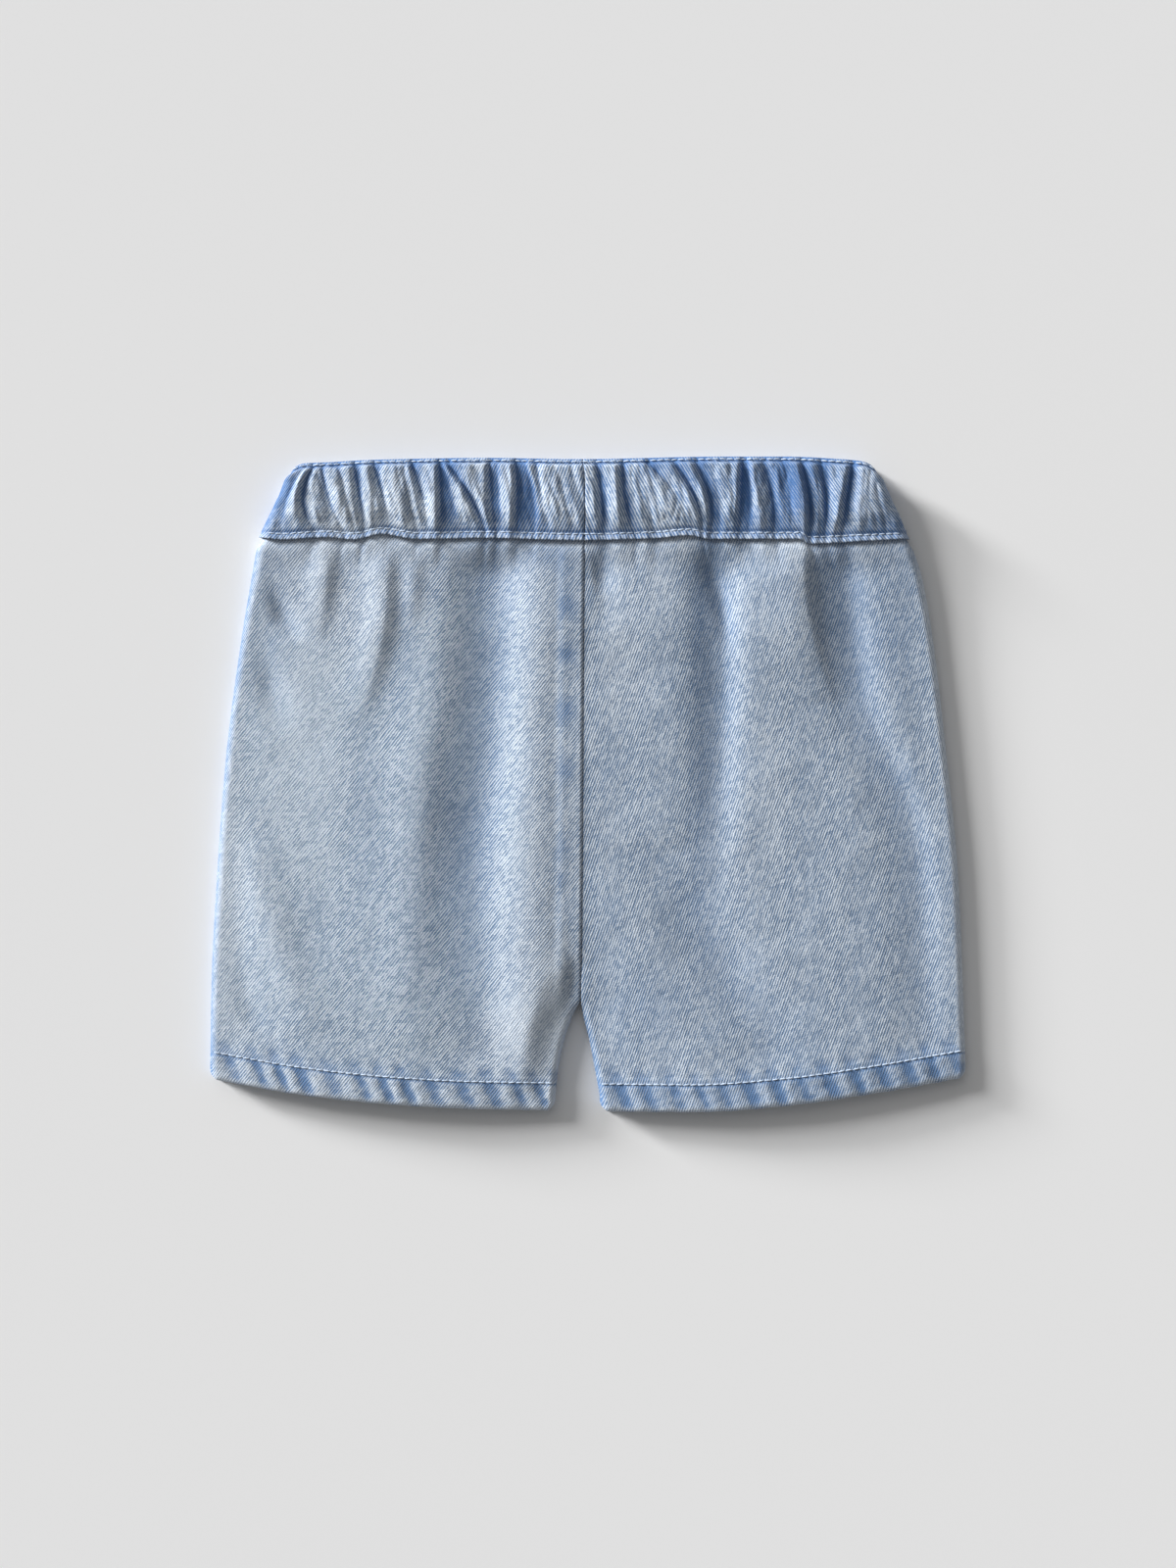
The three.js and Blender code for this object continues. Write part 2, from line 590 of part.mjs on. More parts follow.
// One leg panel. Its top edge is tucked into the waistband, and its hem is turned up inside.
function legPanel(name, half, back) {
  const places = placesOf(half, back ? half.stations : half.frontLine);
  const up = back ? 1 : -1;
  const outer = [];
  const inner = [];
  const row = (isThere, at) => {
    const points = [];
    places.forEach((place, s) => {
      if (isThere(place)) points.push({ s, p: at(place) });
    });
    return points;
  };
  const all = () => true;
  for (const v of tuckedRows) {
    const lift = (place) => (back ? place.rise(v) : -frontRoom(place)) - layerStep;
    outer.push(row(all, (place) => bandPoint(place, v, lift(place), up)));
    inner.push(row(all, (place) => bandPoint(place, v, lift(place) - clothWall, up)));
  }
  const body = (isThere, aboveAt) => {
    outer.push(row(isThere, (place) => legPoint(places, place, aboveAt(place), back).at));
    inner.push(
      row(isThere, (place) => {
        const surface = legPoint(places, place, aboveAt(place), back);
        return sunk(surface, surface.wall);
      }),
    );
  };
  const kept = (place) => place.kept;
  const lengthOf = (place) => place.foot - half.hem(place.share);
  const [near, sparse] = back ? [backRows, backSparseRows] : [frontRows, frontSparseRows];
  for (const below of near) body(all, (place) => lengthOf(place) - below);
  for (const below of sparse) body(kept, (place) => lengthOf(place) - below);
  const lastSparse = sparse[sparse.length - 1];
  const steps = back ? longRows : longRows / 2;
  for (let i = 1; i <= steps; i++)
    body(kept, (place) => mix(lengthOf(place) - lastSparse, hemTurn + 2, i / steps));

  const foldRadius = foldedDepth / 2;
  const hollowRadius = seamGap / 2;
  const hemRows = [hemTurn, hemTurn / 2, foldRadius];
  for (const above of hemRows) body(kept, () => above);
  const turnedIn = (above, depth) =>
    row(kept, (place) => sunk(legPoint(places, place, above, back), depth));
  for (let i = 1; i < foldSteps; i++) {
    const angle = (Math.PI * i) / foldSteps;
    const [rise, reach] = [Math.cos(angle), Math.sin(angle)];
    outer.push(turnedIn(foldRadius * (1 - reach), foldRadius * (1 - rise)));
    inner.push(turnedIn(foldRadius - hollowRadius * reach, foldRadius - hollowRadius * rise));
  }
  for (const above of hemRows.reverse()) {
    outer.push(turnedIn(above, foldedDepth));
    inner.push(turnedIn(above, layerStep));
  }
  return sheet(name, outer, inner, denim);
}

// A folded casing: its outer layer, the fold along the top edge, and its inner layer.
// rise is how far its outer layer stands off the flat, and room is how much deeper its inner layer lies.
function casing(name, places, rows, up, rise, room) {
  const outer = [];
  const inner = [];
  const radiusOf = (place) => (casingDepth + room(place) + rise(place, 1)) / 2;
  const row = (v, lift, back = () => 0) =>
    places.map((place, s) => {
      const p = bandPoint(place, v, lift(place), up);
      p.y -= v === 1 ? back(place, radiusOf(place)) : 0;
      return { s, p };
    });
  const whole = (place, radius) => radius;
  const wallAt = (place, v) => {
    const lift = rise(place, v);
    const grown = v === 1 ? clothWall : clothWall * mix(1, place.growth?.(v) ?? 1, ease(0.15, 0.35, v));
    return Math.max(lift - grown, -clothWall + Math.min(0, lift));
  };
  for (const v of rows) {
    outer.push(row(v, (place) => rise(place, v), whole));
    inner.push(row(v, (place) => wallAt(place, v), whole));
  }
  for (let i = 1; i < foldSteps; i++) {
    const angle = (Math.PI * i) / foldSteps;
    const centre = (place) => rise(place, 1) - radiusOf(place);
    outer.push(
      row(
        1,
        (place) => centre(place) + radiusOf(place) * Math.cos(angle),
        (place, radius) => radius * (1 - Math.sin(angle)),
      ),
    );
    inner.push(
      row(
        1,
        (place) => centre(place) + (radiusOf(place) - clothWall) * Math.cos(angle),
        (place, radius) => radius - (radius - clothWall) * Math.sin(angle),
      ),
    );
  }
  for (const v of innerRows) {
    outer.push(row(v, (place) => -casingDepth - room(place), whole));
    inner.push(row(v, (place) => clothWall - casingDepth - room(place), whole));
  }
  return sheet(name, outer, inner, bandDenim);
}

// Evenly spaced places between the two side folds
function spread(columns) {
  const places = [];
  for (let i = 1; i < columns; i++)
    places.push({
      x: (v) => mix(left.bandSide(v) + bandRadius, right.bandSide(v) - bandRadius, i / columns),
    });
  return places;
}

function backCasing(name, half) {
  const rise = (place, v) => place.rise(v);
  return casing(name, placesOf(half, half.stations), casingRows, 1, rise, () => 0);
}

function frontCasing(name) {
  const places = [...sideTurn(left), ...spread(spreadColumns), ...sideTurn(right).reverse()];
  const rise = (place, v) => -hollowRise(place, v);
  return casing(name, places, frontCasingRows, -1, rise, frontRoom);
}

// The loop of elastic in the casing, smooth where the cloth around it is gathered
function elasticLoop(name) {
  const flat = spread(elasticColumns);
  const over = [...sideTurn(left), ...flat, ...sideTurn(right).reverse()].map((place) => ({ place, up: 1 }));
  const under = [...over].reverse().map(({ place }) => ({ place, up: -1 }));
  const outer = [];
  const inner = [];
  for (const v of elasticRows) {
    const row = (depth) =>
      [...over, ...under].map(({ place, up }, s) => {
        const lift = -layerStep - depth - (up < 0 ? frontRoom(place) : 0);
        return { s, p: bandPoint(place, v, lift, up) };
      });
    outer.push(row(0));
    inner.push(row(elasticWall));
  }
  return sheet(name, outer, inner, webbing, true);
}

const shorts = new THREE.Group();
shorts.add(
  legPanel("back_left_leg", left, true),
  legPanel("back_right_leg", right, true),
  legPanel("front_left_leg", left, false),
  legPanel("front_right_leg", right, false),
  backCasing("waistband_back_left", left),
  backCasing("waistband_back_right", right),
  frontCasing("waistband_front"),
  elasticLoop("waist_elastic"),
);

export default shorts;
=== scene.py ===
import math

import bpy
import numpy as np
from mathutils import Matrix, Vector


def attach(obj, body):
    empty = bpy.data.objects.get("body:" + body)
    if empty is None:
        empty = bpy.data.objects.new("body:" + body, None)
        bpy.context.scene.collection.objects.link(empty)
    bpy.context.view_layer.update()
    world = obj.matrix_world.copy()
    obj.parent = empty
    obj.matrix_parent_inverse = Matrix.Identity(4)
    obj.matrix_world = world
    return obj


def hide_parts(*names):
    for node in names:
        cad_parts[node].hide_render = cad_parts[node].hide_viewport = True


# A child's pull-on denim shorts, lying flat with the back showing. Lengths in the tables and in the
# functions that shape the cloth are in millimetres, and a finished mesh is in metres.
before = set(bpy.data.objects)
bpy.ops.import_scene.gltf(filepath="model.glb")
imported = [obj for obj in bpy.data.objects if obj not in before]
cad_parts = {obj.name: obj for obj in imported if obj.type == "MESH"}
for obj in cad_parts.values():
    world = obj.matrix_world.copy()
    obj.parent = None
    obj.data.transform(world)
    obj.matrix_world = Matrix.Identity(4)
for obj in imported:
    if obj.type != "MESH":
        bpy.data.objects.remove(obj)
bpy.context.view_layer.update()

MM = 0.001

# Cloth, and how its layers stack
CLOTH_WALL = 0.8
SEAM_GAP = 0.3
CLOTH_PARTING = 0.04  # between the two panels at the centre back seam
SEAM_ROLL = 1.1  # width over which a panel turns down into that seam
LAYER_STEP = 1.3
CASING_DEPTH = 3.6
THINNEST = 3.4

# The legs
SIDE_HEIGHT = 6.4
HEM_HEIGHT = 6.4
HEM_LEVELS = (26, 6)  # heights above the hem between which the side's height becomes the hem's
CROWN_RISE = 2.6
CROTCH_Y = -88.0
ALLOWANCE = 9.0
ALLOWANCE_RISE = 0.5  # how far it lifts the leg that lies over it
FOLD_HEIGHT = 1.4
FOLD_FADE = 9.0
RIPPLE_REACH = 9.0  # how far the gathers run on into the legs
SWELL_BELOW_BAND = 0.5  # the legs' cloth puffs up where it comes out of the waistband's seam
WAIST_FALL = 26.0
FLAT_WIDTH = 5.1  # from the centre seam to where an inseam starts to roll
TUCKED = 4.0
UNEVEN_CLOTH = [
    {"height": 0.35, "seed": 11, "size": 46},
    {"height": 0.14, "seed": 12, "size": 17},
    {"height": 0.05, "seed": 13, "size": 6},
]
GRAIN_SLANT = {"left": 0.0, "right": 18.0}  # degrees by which a leg's grain leans from the centre seam

# The turned hems
HEM_TURN = 12.0
HEM_CORNER = 4.0
HEM_STITCH_ABOVE = 11.0
ROPE_PITCH = 10.4
ROPE_HEIGHT = 0.3
ROPE_SLANT = 0.42
ROPES = 64  # enough puckers, counted from the middle, for both hems

# The waistband
BAND_HEIGHT = 9.6
BAND_RADIUS = (BAND_HEIGHT - SEAM_GAP) / 2
BAND_FOOT_Y = 97.0
BAND_TOP_Y = 128.0
BAND_CREST_Y = 129.5
BAND_TALL = 31.0
BAND_CORNER = 9.0
GATHER_HEIGHT = 1.3  # the gathers of the cloth against the heights in the tables
FRONT_HOLLOW = 0.9
FRONT_WIDE = 246
FRONT_HOLLOWS = 23

# Sewing
STITCH_PITCH = 2.9
STITCH_LENGTH = 2.75
STITCH_RADIUS = 0.3
STITCH_WANDER = 0.12
STITCH_ROW_SHARE = 0.08  # where the rows run, as a share of the waistband's height
TOP_ROW_SHARE = 0.965
HEM_ROW_LIFT = 0.28
FOOT_ROW_LIFT = 0.12
TOP_ROW_LIFT = 0.1
FRONT_FURROW = 0.62  # how deep the stitches of the underside sink into the cloth
FRONT_STITCH_SHOWS = 0.15

# How finely the cloth is divided
SIDE_STEPS = 8
BACK_COLUMNS = 170
BACK_ROWS = 170
FRONT_COLUMNS = 70
FRONT_ROWS = 60
HEM_ROWS = 14
FOLD_STEPS = 6
BAND_COLUMNS = 300
BAND_ROWS = 56
INSIDE_ROWS = 8

# The shot
GROUND = (239, 239, 239)
GROUND_REACH = 3.0
MM_PER_PIXEL = 0.39
IMAGE_HEIGHT = 1600
LENS = 100.0
SENSOR = 36.0
FRAMED_HEIGHT = 0.006  # height over the ground at which the picture's scale is true
ROOM_LIGHT = 0.19
SUNS = [
    {"name": "low_window", "strength": 3.9, "azimuth": 149, "elevation": 11, "softness": 10},
    {"name": "window", "strength": 2.9, "azimuth": 147, "elevation": 22, "softness": 20},
    {"name": "ceiling", "strength": 0.35, "azimuth": 120, "elevation": 50, "softness": 60},
]

# The outline: how far each side reaches at each height
OUTLINE = [
    {"y": 131, "left": -119.2, "right": 116.0},
    {"y": 120, "left": -123.2, "right": 119.8},
    {"y": 106, "left": -128.6, "right": 125.2},
    {"y": 97, "left": -131.4, "right": 128.2},
    {"y": 82, "left": -134.2, "right": 133.2},
    {"y": 58, "left": -138.2, "right": 137.4},
    {"y": 12, "left": -144.2, "right": 142.8},
    {"y": -35, "left": -147.8, "right": 147.4},
    {"y": -80, "left": -150.1, "right": 149.4},
    {"y": -122, "left": -150.7, "right": 150.7},
]
# The centre back seam, and below the crotch the two inseams
MIDDLE_EDGES = [
    {"y": 131, "left": -2.0, "right": -2.0},
    {"y": 113, "left": -1.1, "right": -1.1},
    {"y": 90, "left": -1.5, "right": -1.5},
    {"y": -70, "left": -2.6, "right": -2.6},
    {"y": -86, "left": -3.2, "right": -2.8},
    {"y": -92, "left": -6.0, "right": -2.0},
    {"y": -101, "left": -9.2, "right": 0.2},
    {"y": -112, "left": -11.6, "right": 2.4},
    {"y": -124, "left": -13.0, "right": 4.6},
]
BAND_TOP = [
    {"x": -118, "y": 127.4},
    {"x": -104, "y": 127.9},
    {"x": -86, "y": 128.9},
    {"x": -40, "y": 129.7},
    {"x": -4, "y": 129.2},
    {"x": 54, "y": 130.2},
    {"x": 78, "y": 130.2},
    {"x": 103, "y": 129.0},
    {"x": 115, "y": 127.6},
]
BAND_FOOT = [
    {"x": -131, "y": 98.2},
    {"x": -122, "y": 97.0},
    {"x": -104, "y": 97.9},
    {"x": -93, "y": 97.0},
    {"x": -82, "y": 99.2},
    {"x": -68, "y": 97.2},
    {"x": -40, "y": 97.6},
    {"x": -4, "y": 96.7},
    {"x": 27, "y": 97.5},
    {"x": 40, "y": 98.6},
    {"x": 49, "y": 97.2},
    {"x": 84, "y": 97.2},
    {"x": 88, "y": 95.4},
    {"x": 110, "y": 96.4},
    {"x": 129, "y": 97.5},
]
HEM_EDGES = [
    {"share": 0, "left": -118.0, "right": -117.4},
    {"share": 0.25, "left": -123.6, "right": -123.4},
    {"share": 0.5, "left": -127.2, "right": -128.2},
    {"share": 0.75, "left": -129.2, "right": -130.6},
    {"share": 1, "left": -130.0, "right": -130.4},
]

# The gathers on the back of the waistband, from the side to the centre back seam. x is where a crest or a
# hollow runs near the top, in the middle and near the foot of the band, and rise is its height there.
GATHER_STATIONS = (0.87, 0.49, 0.14)
STATION_REACH = 0.06
GATHERS = {
    "left": [
        ([-114.0, -120.0, -121.3], [0.8, 0.3, 0.2]),
        ([-112.6, -116.4, -112.8], [1.6, 2.2, 1.4]),
        ([-110.4, -113.2, -109.6], [0.2, 0.0, 0.0]),
        ([-108.0, -109.2, -105.0], [1.4, 1.7, 1.6]),
        ([-105.4, -102.8, -97.8], [0.4, 0.5, 0.2]),
        ([-102.4, -98.0, -94.8], [1.4, 2.2, 1.4]),
        ([-99.0, -95.7, -93.0], [0.6, 1.3, 1.2]),
        ([-94.8, -93.2, -91.4], [1.6, 1.9, 1.4]),
        ([-92.4, -90.4, -89.0], [0.0, 0.0, 0.0]),
        ([-87.2, -86.4, -86.2], [1.8, 2.0, 1.6]),
        ([-84.6, -81.4, -79.2], [0.3, 0.5, 0.3]),
        ([-76.6, -75.4, -72.6], [1.8, 2.5, 1.6]),
        ([-73.0, -71.4, -68.2], [1.6, 0.9, 0.1]),
        ([-71.4, -68.4, -65.6], [1.8, 1.9, 1.1]),
        ([-69.2, -65.6, -63.4], [0.1, 0.8, 1.3]),
        ([-61.2, -60.6, -60.6], [2.0, 2.5, 1.9]),
        ([-58.8, -58.2, -58.2], [0.0, 0.0, 0.0]),
        ([-57.4, -54.2, -51.4], [0.3, 0.5, 0.5]),
        ([-55.8, -49.2, -44.2], [1.2, 2.3, 1.9]),
        ([-54.4, -46.4, -41.4], [0.2, 0.0, 0.0]),
        ([-49.2, -42.6, -39.4], [1.7, 2.1, 1.7]),
        ([-41.0, -40.6, -38.2], [1.9, 1.6, 1.2]),
        ([-39.0, -38.0, -36.8], [0.4, 0.1, 0.0]),
        ([-36.0, -35.6, -34.8], [0.7, 0.4, 0.6]),
        ([-30.8, -30.6, -31.2], [2.1, 2.5, 2.1]),
        ([-28.4, -27.8, -28.2], [0.0, 0.0, 0.0]),
        ([-24.4, -21.6, -21.2], [0.2, 0.1, 0.1]),
        ([-22.8, -19.6, -19.6], [1.3, 1.0, 0.9]),
        ([-20.4, -18.2, -17.2], [0.6, 1.1, 0.9]),
        ([-17.2, -16.4, -13.4], [1.5, 1.7, 1.4]),
        ([-6.6, -6.4, -6.4], [1.4, 1.6, 1.4]),
    ],
    "right": [
        ([112.4, 116.0, 118.2], [1.5, 1.6, 0.6]),
        ([109.4, 108.2, 107.6], [1.9, 2.5, 1.9]),
        ([104.6, 102.8, 101.2], [0.0, 0.0, 0.0]),
        ([102.0, 100.0, 97.6], [1.9, 2.3, 1.8]),
        ([92.8, 94.4, 94.2], [0.1, 0.0, 0.0]),
        ([89.4, 91.2, 90.8], [1.6, 1.8, 1.4]),
        ([85.4, 88.0, 88.2], [0.2, 0.0, 0.0]),
        ([83.0, 85.6, 85.8], [2.0, 2.7, 2.5]),
        ([77.8, 80.2, 80.6], [0.5, 1.5, 1.7]),
        ([74.6, 77.4, 78.0], [1.6, 1.7, 1.5]),
        ([70.2, 73.2, 74.0], [0.6, 0.1, 0.0]),
        ([65.4, 67.2, 68.6], [2.1, 2.5, 2.1]),
        ([63.2, 64.2, 64.0], [0.1, 0.1, 0.1]),
        ([61.4, 60.8, 60.0], [0.0, 0.0, 0.0]),
        ([59.4, 58.8, 57.6], [1.8, 2.0, 1.7]),
        ([56.4, 57.6, 56.4], [1.2, 1.8, 1.7]),
        ([52.8, 56.2, 55.2], [1.9, 2.0, 1.8]),
        ([47.8, 51.6, 51.8], [0.9, 0.8, 0.3]),
        ([43.8, 48.2, 48.8], [0.0, 0.0, 0.0]),
        ([40.8, 45.8, 47.0], [1.9, 2.3, 1.9]),
        ([35.6, 42.4, 45.3], [0.2, 0.2, 0.8]),
        ([33.0, 39.8, 43.6], [1.7, 2.5, 2.3]),
        ([25.6, 35.4, 39.0], [0.2, 1.4, 2.2]),
        ([23.6, 31.0, 35.0], [1.7, 2.1, 2.1]),
        ([20.9, 24.0, 25.8], [1.5, 1.2, 0.3]),
        ([18.4, 20.2, 22.4], [1.4, 1.6, 1.6]),
        ([13.8, 14.8, 17.8], [0.1, 0.0, 0.0]),
        ([10.8, 11.4, 12.6], [1.9, 2.3, 1.9]),
        ([3.8, 5.8, 6.2], [0.2, 0.0, 0.0]),
        ([0.8, 2.4, 3.0], [1.7, 1.9, 1.6]),
    ],
}
SEAM_RISE = 1.6

# Blue marks along the edge of the centre back seam's turned cloth, where washing wore round it
SEAM_WEAR = [
    {"x": -8.4, "y": 71, "wide": 3.6, "high": 5.0, "depth": 1.0},
    {"x": -8.2, "y": 52, "wide": 3.4, "high": 4.6, "depth": 0.95},
    {"x": -8.6, "y": 29, "wide": 3.4, "high": 5.0, "depth": 0.95},
    {"x": -8.8, "y": 6, "wide": 3.0, "high": 4.4, "depth": 0.8},
    {"x": -9.4, "y": -25, "wide": 2.4, "high": 3.5, "depth": 0.55},
    {"x": -9.6, "y": -38, "wide": 2.2, "high": 3.5, "depth": 0.5},
]
# Bluer patches of the legs: dye that the wash left, and painted shade along some of the folds.
DYE_AND_PAINTED_SHADE_PATCHES = [
    {"x": 44, "y": 66, "wide": 3.5, "high": 26, "depth": 0.35},
    {"x": 44, "y": 0, "wide": 5, "high": 36, "depth": 0.3},
    {"x": 25, "y": -88, "wide": 16, "high": 14, "depth": 0.2},
    {"x": -73, "y": 56, "wide": 5, "high": 22, "depth": 0.25},
    {"x": -88, "y": -8, "wide": 9, "high": 26, "depth": 0.2},
    {"x": -15, "y": 91, "wide": 10, "high": 5, "depth": 0.55},
    {"x": -8, "y": 84, "wide": 5, "high": 6, "depth": 0.3},
    {"x": 76, "y": 80, "wide": 9, "high": 14, "depth": 0.2},
    {"x": 118, "y": 62, "wide": 12, "high": 24, "depth": 0.25},
    {"x": -124, "y": 60, "wide": 12, "high": 22, "depth": 0.2},
    {"x": -60, "y": -20, "wide": 16, "high": 50, "depth": 0.16},
]
# Paler patches of the legs: faded places, and painted light where the roll of the legs and their folds shade
# them.
FADE_AND_PAINTED_LIGHT_PATCHES = [
    {"x": -114, "y": 30, "wide": 20, "high": 70, "depth": 0.5},
    {"x": -147, "y": -40, "wide": 10, "high": 70, "depth": 0.6},
    {"x": 14, "y": 55, "wide": 9, "high": 34, "depth": 0.45},
    {"x": 73, "y": 0, "wide": 8, "high": 44, "depth": 0.4},
    {"x": -30, "y": -97, "wide": 9, "high": 14, "depth": 0.8},
    {"x": 29, "y": 80, "wide": 6, "high": 14, "depth": 0.4},
    {"x": -13, "y": -90, "wide": 6, "high": 20, "depth": 0.7},
]
# Patches on the back of the waistband. Those that add blue are dye left in places and painted shade, most of
# all near the top of the right half; those of negative depth are painted light low on the band, where its
# gathers shade it.
BAND_DYE_AND_PAINTED_SHADING_PATCHES = [
    {"x": 85, "y": 122, "wide": 11, "high": 9, "depth": 0.5},
    {"x": 72, "y": 124, "wide": 12, "high": 6, "depth": 0.35},
    {"x": 45, "y": 122, "wide": 12, "high": 7, "depth": 0.35},
    {"x": -58, "y": 126, "wide": 9, "high": 5, "depth": 0.4},
    {"x": 80, "y": 116, "wide": 5, "high": 12, "depth": 0.7},
    {"x": 63, "y": 112, "wide": 5, "high": 12, "depth": 0.4},
    {"x": 105, "y": 119, "wide": 5, "high": 10, "depth": 0.4},
    {"x": 30, "y": 124, "wide": 10, "high": 5, "depth": 0.4},
    {"x": -28, "y": 112, "wide": 6, "high": 14, "depth": 0.3},
    {"x": -56, "y": 122, "wide": 7, "high": 8, "depth": 0.3},
    {"x": -117, "y": 112, "wide": 4, "high": 12, "depth": 0.35},
    {"x": -124, "y": 109, "wide": 9, "high": 9, "depth": -0.6},
    {"x": -92, "y": 106, "wide": 20, "high": 9, "depth": -1.1},
    {"x": -66, "y": 103, "wide": 10, "high": 7, "depth": -0.45},
    {"x": 29, "y": 104, "wide": 9, "high": 7, "depth": -0.75},
    {"x": 82, "y": 107, "wide": 10, "high": 9, "depth": 0.6},
    {"x": 88, "y": 120, "wide": 12, "high": 6, "depth": 0.4},
]

# The soft folds of the legs, from the waist down. lift is the height at each point, and before and after
# are how far the fold spreads to the left and to the right.
LEG_FOLDS = [
    {"points": [(-36, 98), (-37, 62), (-40, 16), (-45, -39), (-42, -104)],
     "lift": [-2.3, -2.3, -2.1, -1.8, -0.9], "before": 16, "after": 12},
    {"points": [(-58, 92), (-61, 40), (-67, 0), (-72, -80)],
     "lift": [0.4, 0.7, 0.9, 0.4], "before": 12, "after": 9},
    {"points": [(-80, 98), (-81, 70), (-86, 43), (-92, 22)],
     "lift": [1.4, 1.5, 0.8, 0.0], "before": 8, "after": 4.5},
    {"points": [(-103, 98), (-105, 78), (-107, 56)], "lift": [1.3, 1.1, 0.0], "before": 7, "after": 4},
    {"points": [(-69, 97), (-70, 78), (-71, 58)], "lift": [0.9, 0.8, 0.0], "before": 5, "after": 4},
    {"points": [(-130, 83), (-121, 66), (-115, 56)], "lift": [-0.6, -1.1, 0.0], "before": 5, "after": 5},
    {"points": [(-134, 56), (-126, 36), (-121, 16)], "lift": [-0.3, -0.9, 0.0], "before": 7, "after": 7},
    {"points": [(-22, 98), (-22, 60), (-23, 0), (-23, -80), (-19, -112)],
     "lift": [0.9, 1.2, 1.1, 1.3, 1.2], "before": 12, "after": 12},
    {"points": [(7, 98), (7, 78), (6, 60)], "lift": [-0.9, -0.6, 0.0], "before": 4, "after": 6},
    {"points": [(53, 98), (53, 70), (53, 39), (52, 0), (50, -40)],
     "lift": [-1.5, -1.9, -1.9, -1.4, -0.5], "before": 11, "after": 7},
    {"points": [(46.5, 98), (49, 84), (54, 68), (57, 50)],
     "lift": [-1.5, -1.4, -0.8, 0.0], "before": 3.5, "after": 3},
    {"points": [(2, 97), (4, 86), (5, 74)], "lift": [-1.0, -0.8, 0.0], "before": 2, "after": 4},
    {"points": [(66, 92), (65, 50), (64, 20), (64, -10)],
     "lift": [0.4, 0.2, 0.0, 0.0], "before": 8, "after": 14},
    {"points": [(85, 98), (86, 78), (90, 55), (97, 32)],
     "lift": [2.3, 2.1, 1.2, 0.0], "before": 16, "after": 3.5},
    {"points": [(99, 98), (103, 62), (108, 35), (120, 5), (132, -30), (137, -100)],
     "lift": [-1.9, -2.1, -1.6, -1.2, -1.2, -0.8], "before": 14, "after": 8},
    {"points": [(28, -30), (50, -66), (72, -104)], "lift": [-0.5, -1.3, -0.8], "before": 16, "after": 15},
    {"points": [(6, -60), (23, -82), (43, -104)], "lift": [0.0, 0.3, 0.2], "before": 9, "after": 9},
    {"points": [(-131, -32), (-125, -60), (-113, -92)],
     "lift": [0.3, 1.0, 0.5], "before": 9, "after": 10},
    {"points": [(-143, -60), (-136, -88), (-124, -106)],
     "lift": [-0.3, -0.6, -0.2], "before": 6, "after": 6},
    {"points": [(-5.5, -68), (-7, -84), (-9.5, -98)], "lift": [0.0, -1.3, -0.3], "before": 2.5, "after": 4},
    {"points": [(-13, -62), (-12, -84), (-15, -104)], "lift": [0.2, 0.6, 0.3], "before": 9, "after": 5},
]


# Numbers and curves

def mix(a, b, share):
    return a + (b - a) * share


def ease(low, high, value):
    s = np.clip((value - low) / (high - low), 0, 1)
    return s * s * (3 - 2 * s)


def curve(rows, key, column):
    """A smooth curve through one column of a table, which never swings past its rows."""
    points = sorted((row[key], row[column]) for row in rows)
    x = np.array([p[0] for p in points], float)
    y = np.array([p[1] for p in points], float)
    steps = np.diff(y) / np.diff(x)
    before = np.concatenate([steps[:1], steps])
    after = np.concatenate([steps, steps[-1:]])
    same_way = before * after > 0
    slopes = np.where(same_way, 2 * before * after / np.where(same_way, before + after, 1), 0)

    def read(place):
        place = np.clip(place, x[0], x[-1])
        i = np.clip(np.searchsorted(x, place, side="right") - 1, 0, len(x) - 2)
        span = x[i + 1] - x[i]
        s = (place - x[i]) / span
        bend = slopes[i] * s * (1 - s) ** 2 - slopes[i + 1] * s * s * (1 - s)
        return mix(y[i], y[i + 1], s * s * (3 - 2 * s)) + span * bend

    return read


def over_stations(values, share):
    """The value at a share of the waistband's height, on a curve through the three stations."""
    top, middle, foot = GATHER_STATIONS
    v = np.clip(share, foot - STATION_REACH, top + STATION_REACH)
    return (
        values[0] * (v - middle) * (v - foot) / ((top - middle) * (top - foot))
        + values[1] * (v - top) * (v - foot) / ((middle - top) * (middle - foot))
        + values[2] * (v - top) * (v - middle) / ((foot - top) * (foot - middle))
    )


def stitch_hold(v):
    """The stitches near both edges of the waistband hold its gathers down."""
    return mix(0.35, 1, ease(0.02, 0.38, v)) * mix(1, 0.7, ease(0.87, 1, v))


foot_at = curve(BAND_FOOT, "x", "y")
top_at = curve(BAND_TOP, "x", "y")
for fold in LEG_FOLDS:
    rows = [{"x": x, "y": y, "lift": lift} for (x, y), lift in zip(fold["points"], fold["lift"])]
    fold["high"] = rows[0]["y"]
    fold["low"] = rows[-1]["y"]
    fold["x_at"] = curve(rows, "y", "x")
    fold["lift_at"] = curve(rows, "y", "lift")


def fold_lift(x, y):
    lift = np.zeros_like(x)
    for fold in LEG_FOLDS:
        place = np.clip(y, fold["low"], fold["high"])
        offset = x - fold["x_at"](place)
        spread = np.where(offset < 0, fold["before"], fold["after"])
        beyond = np.maximum(0, np.maximum(fold["low"] - y, y - fold["high"])) / FOLD_FADE
        lift += fold["lift_at"](place) * np.exp(-((offset / spread) ** 2) - beyond ** 2)
    return lift * FOLD_HEIGHT


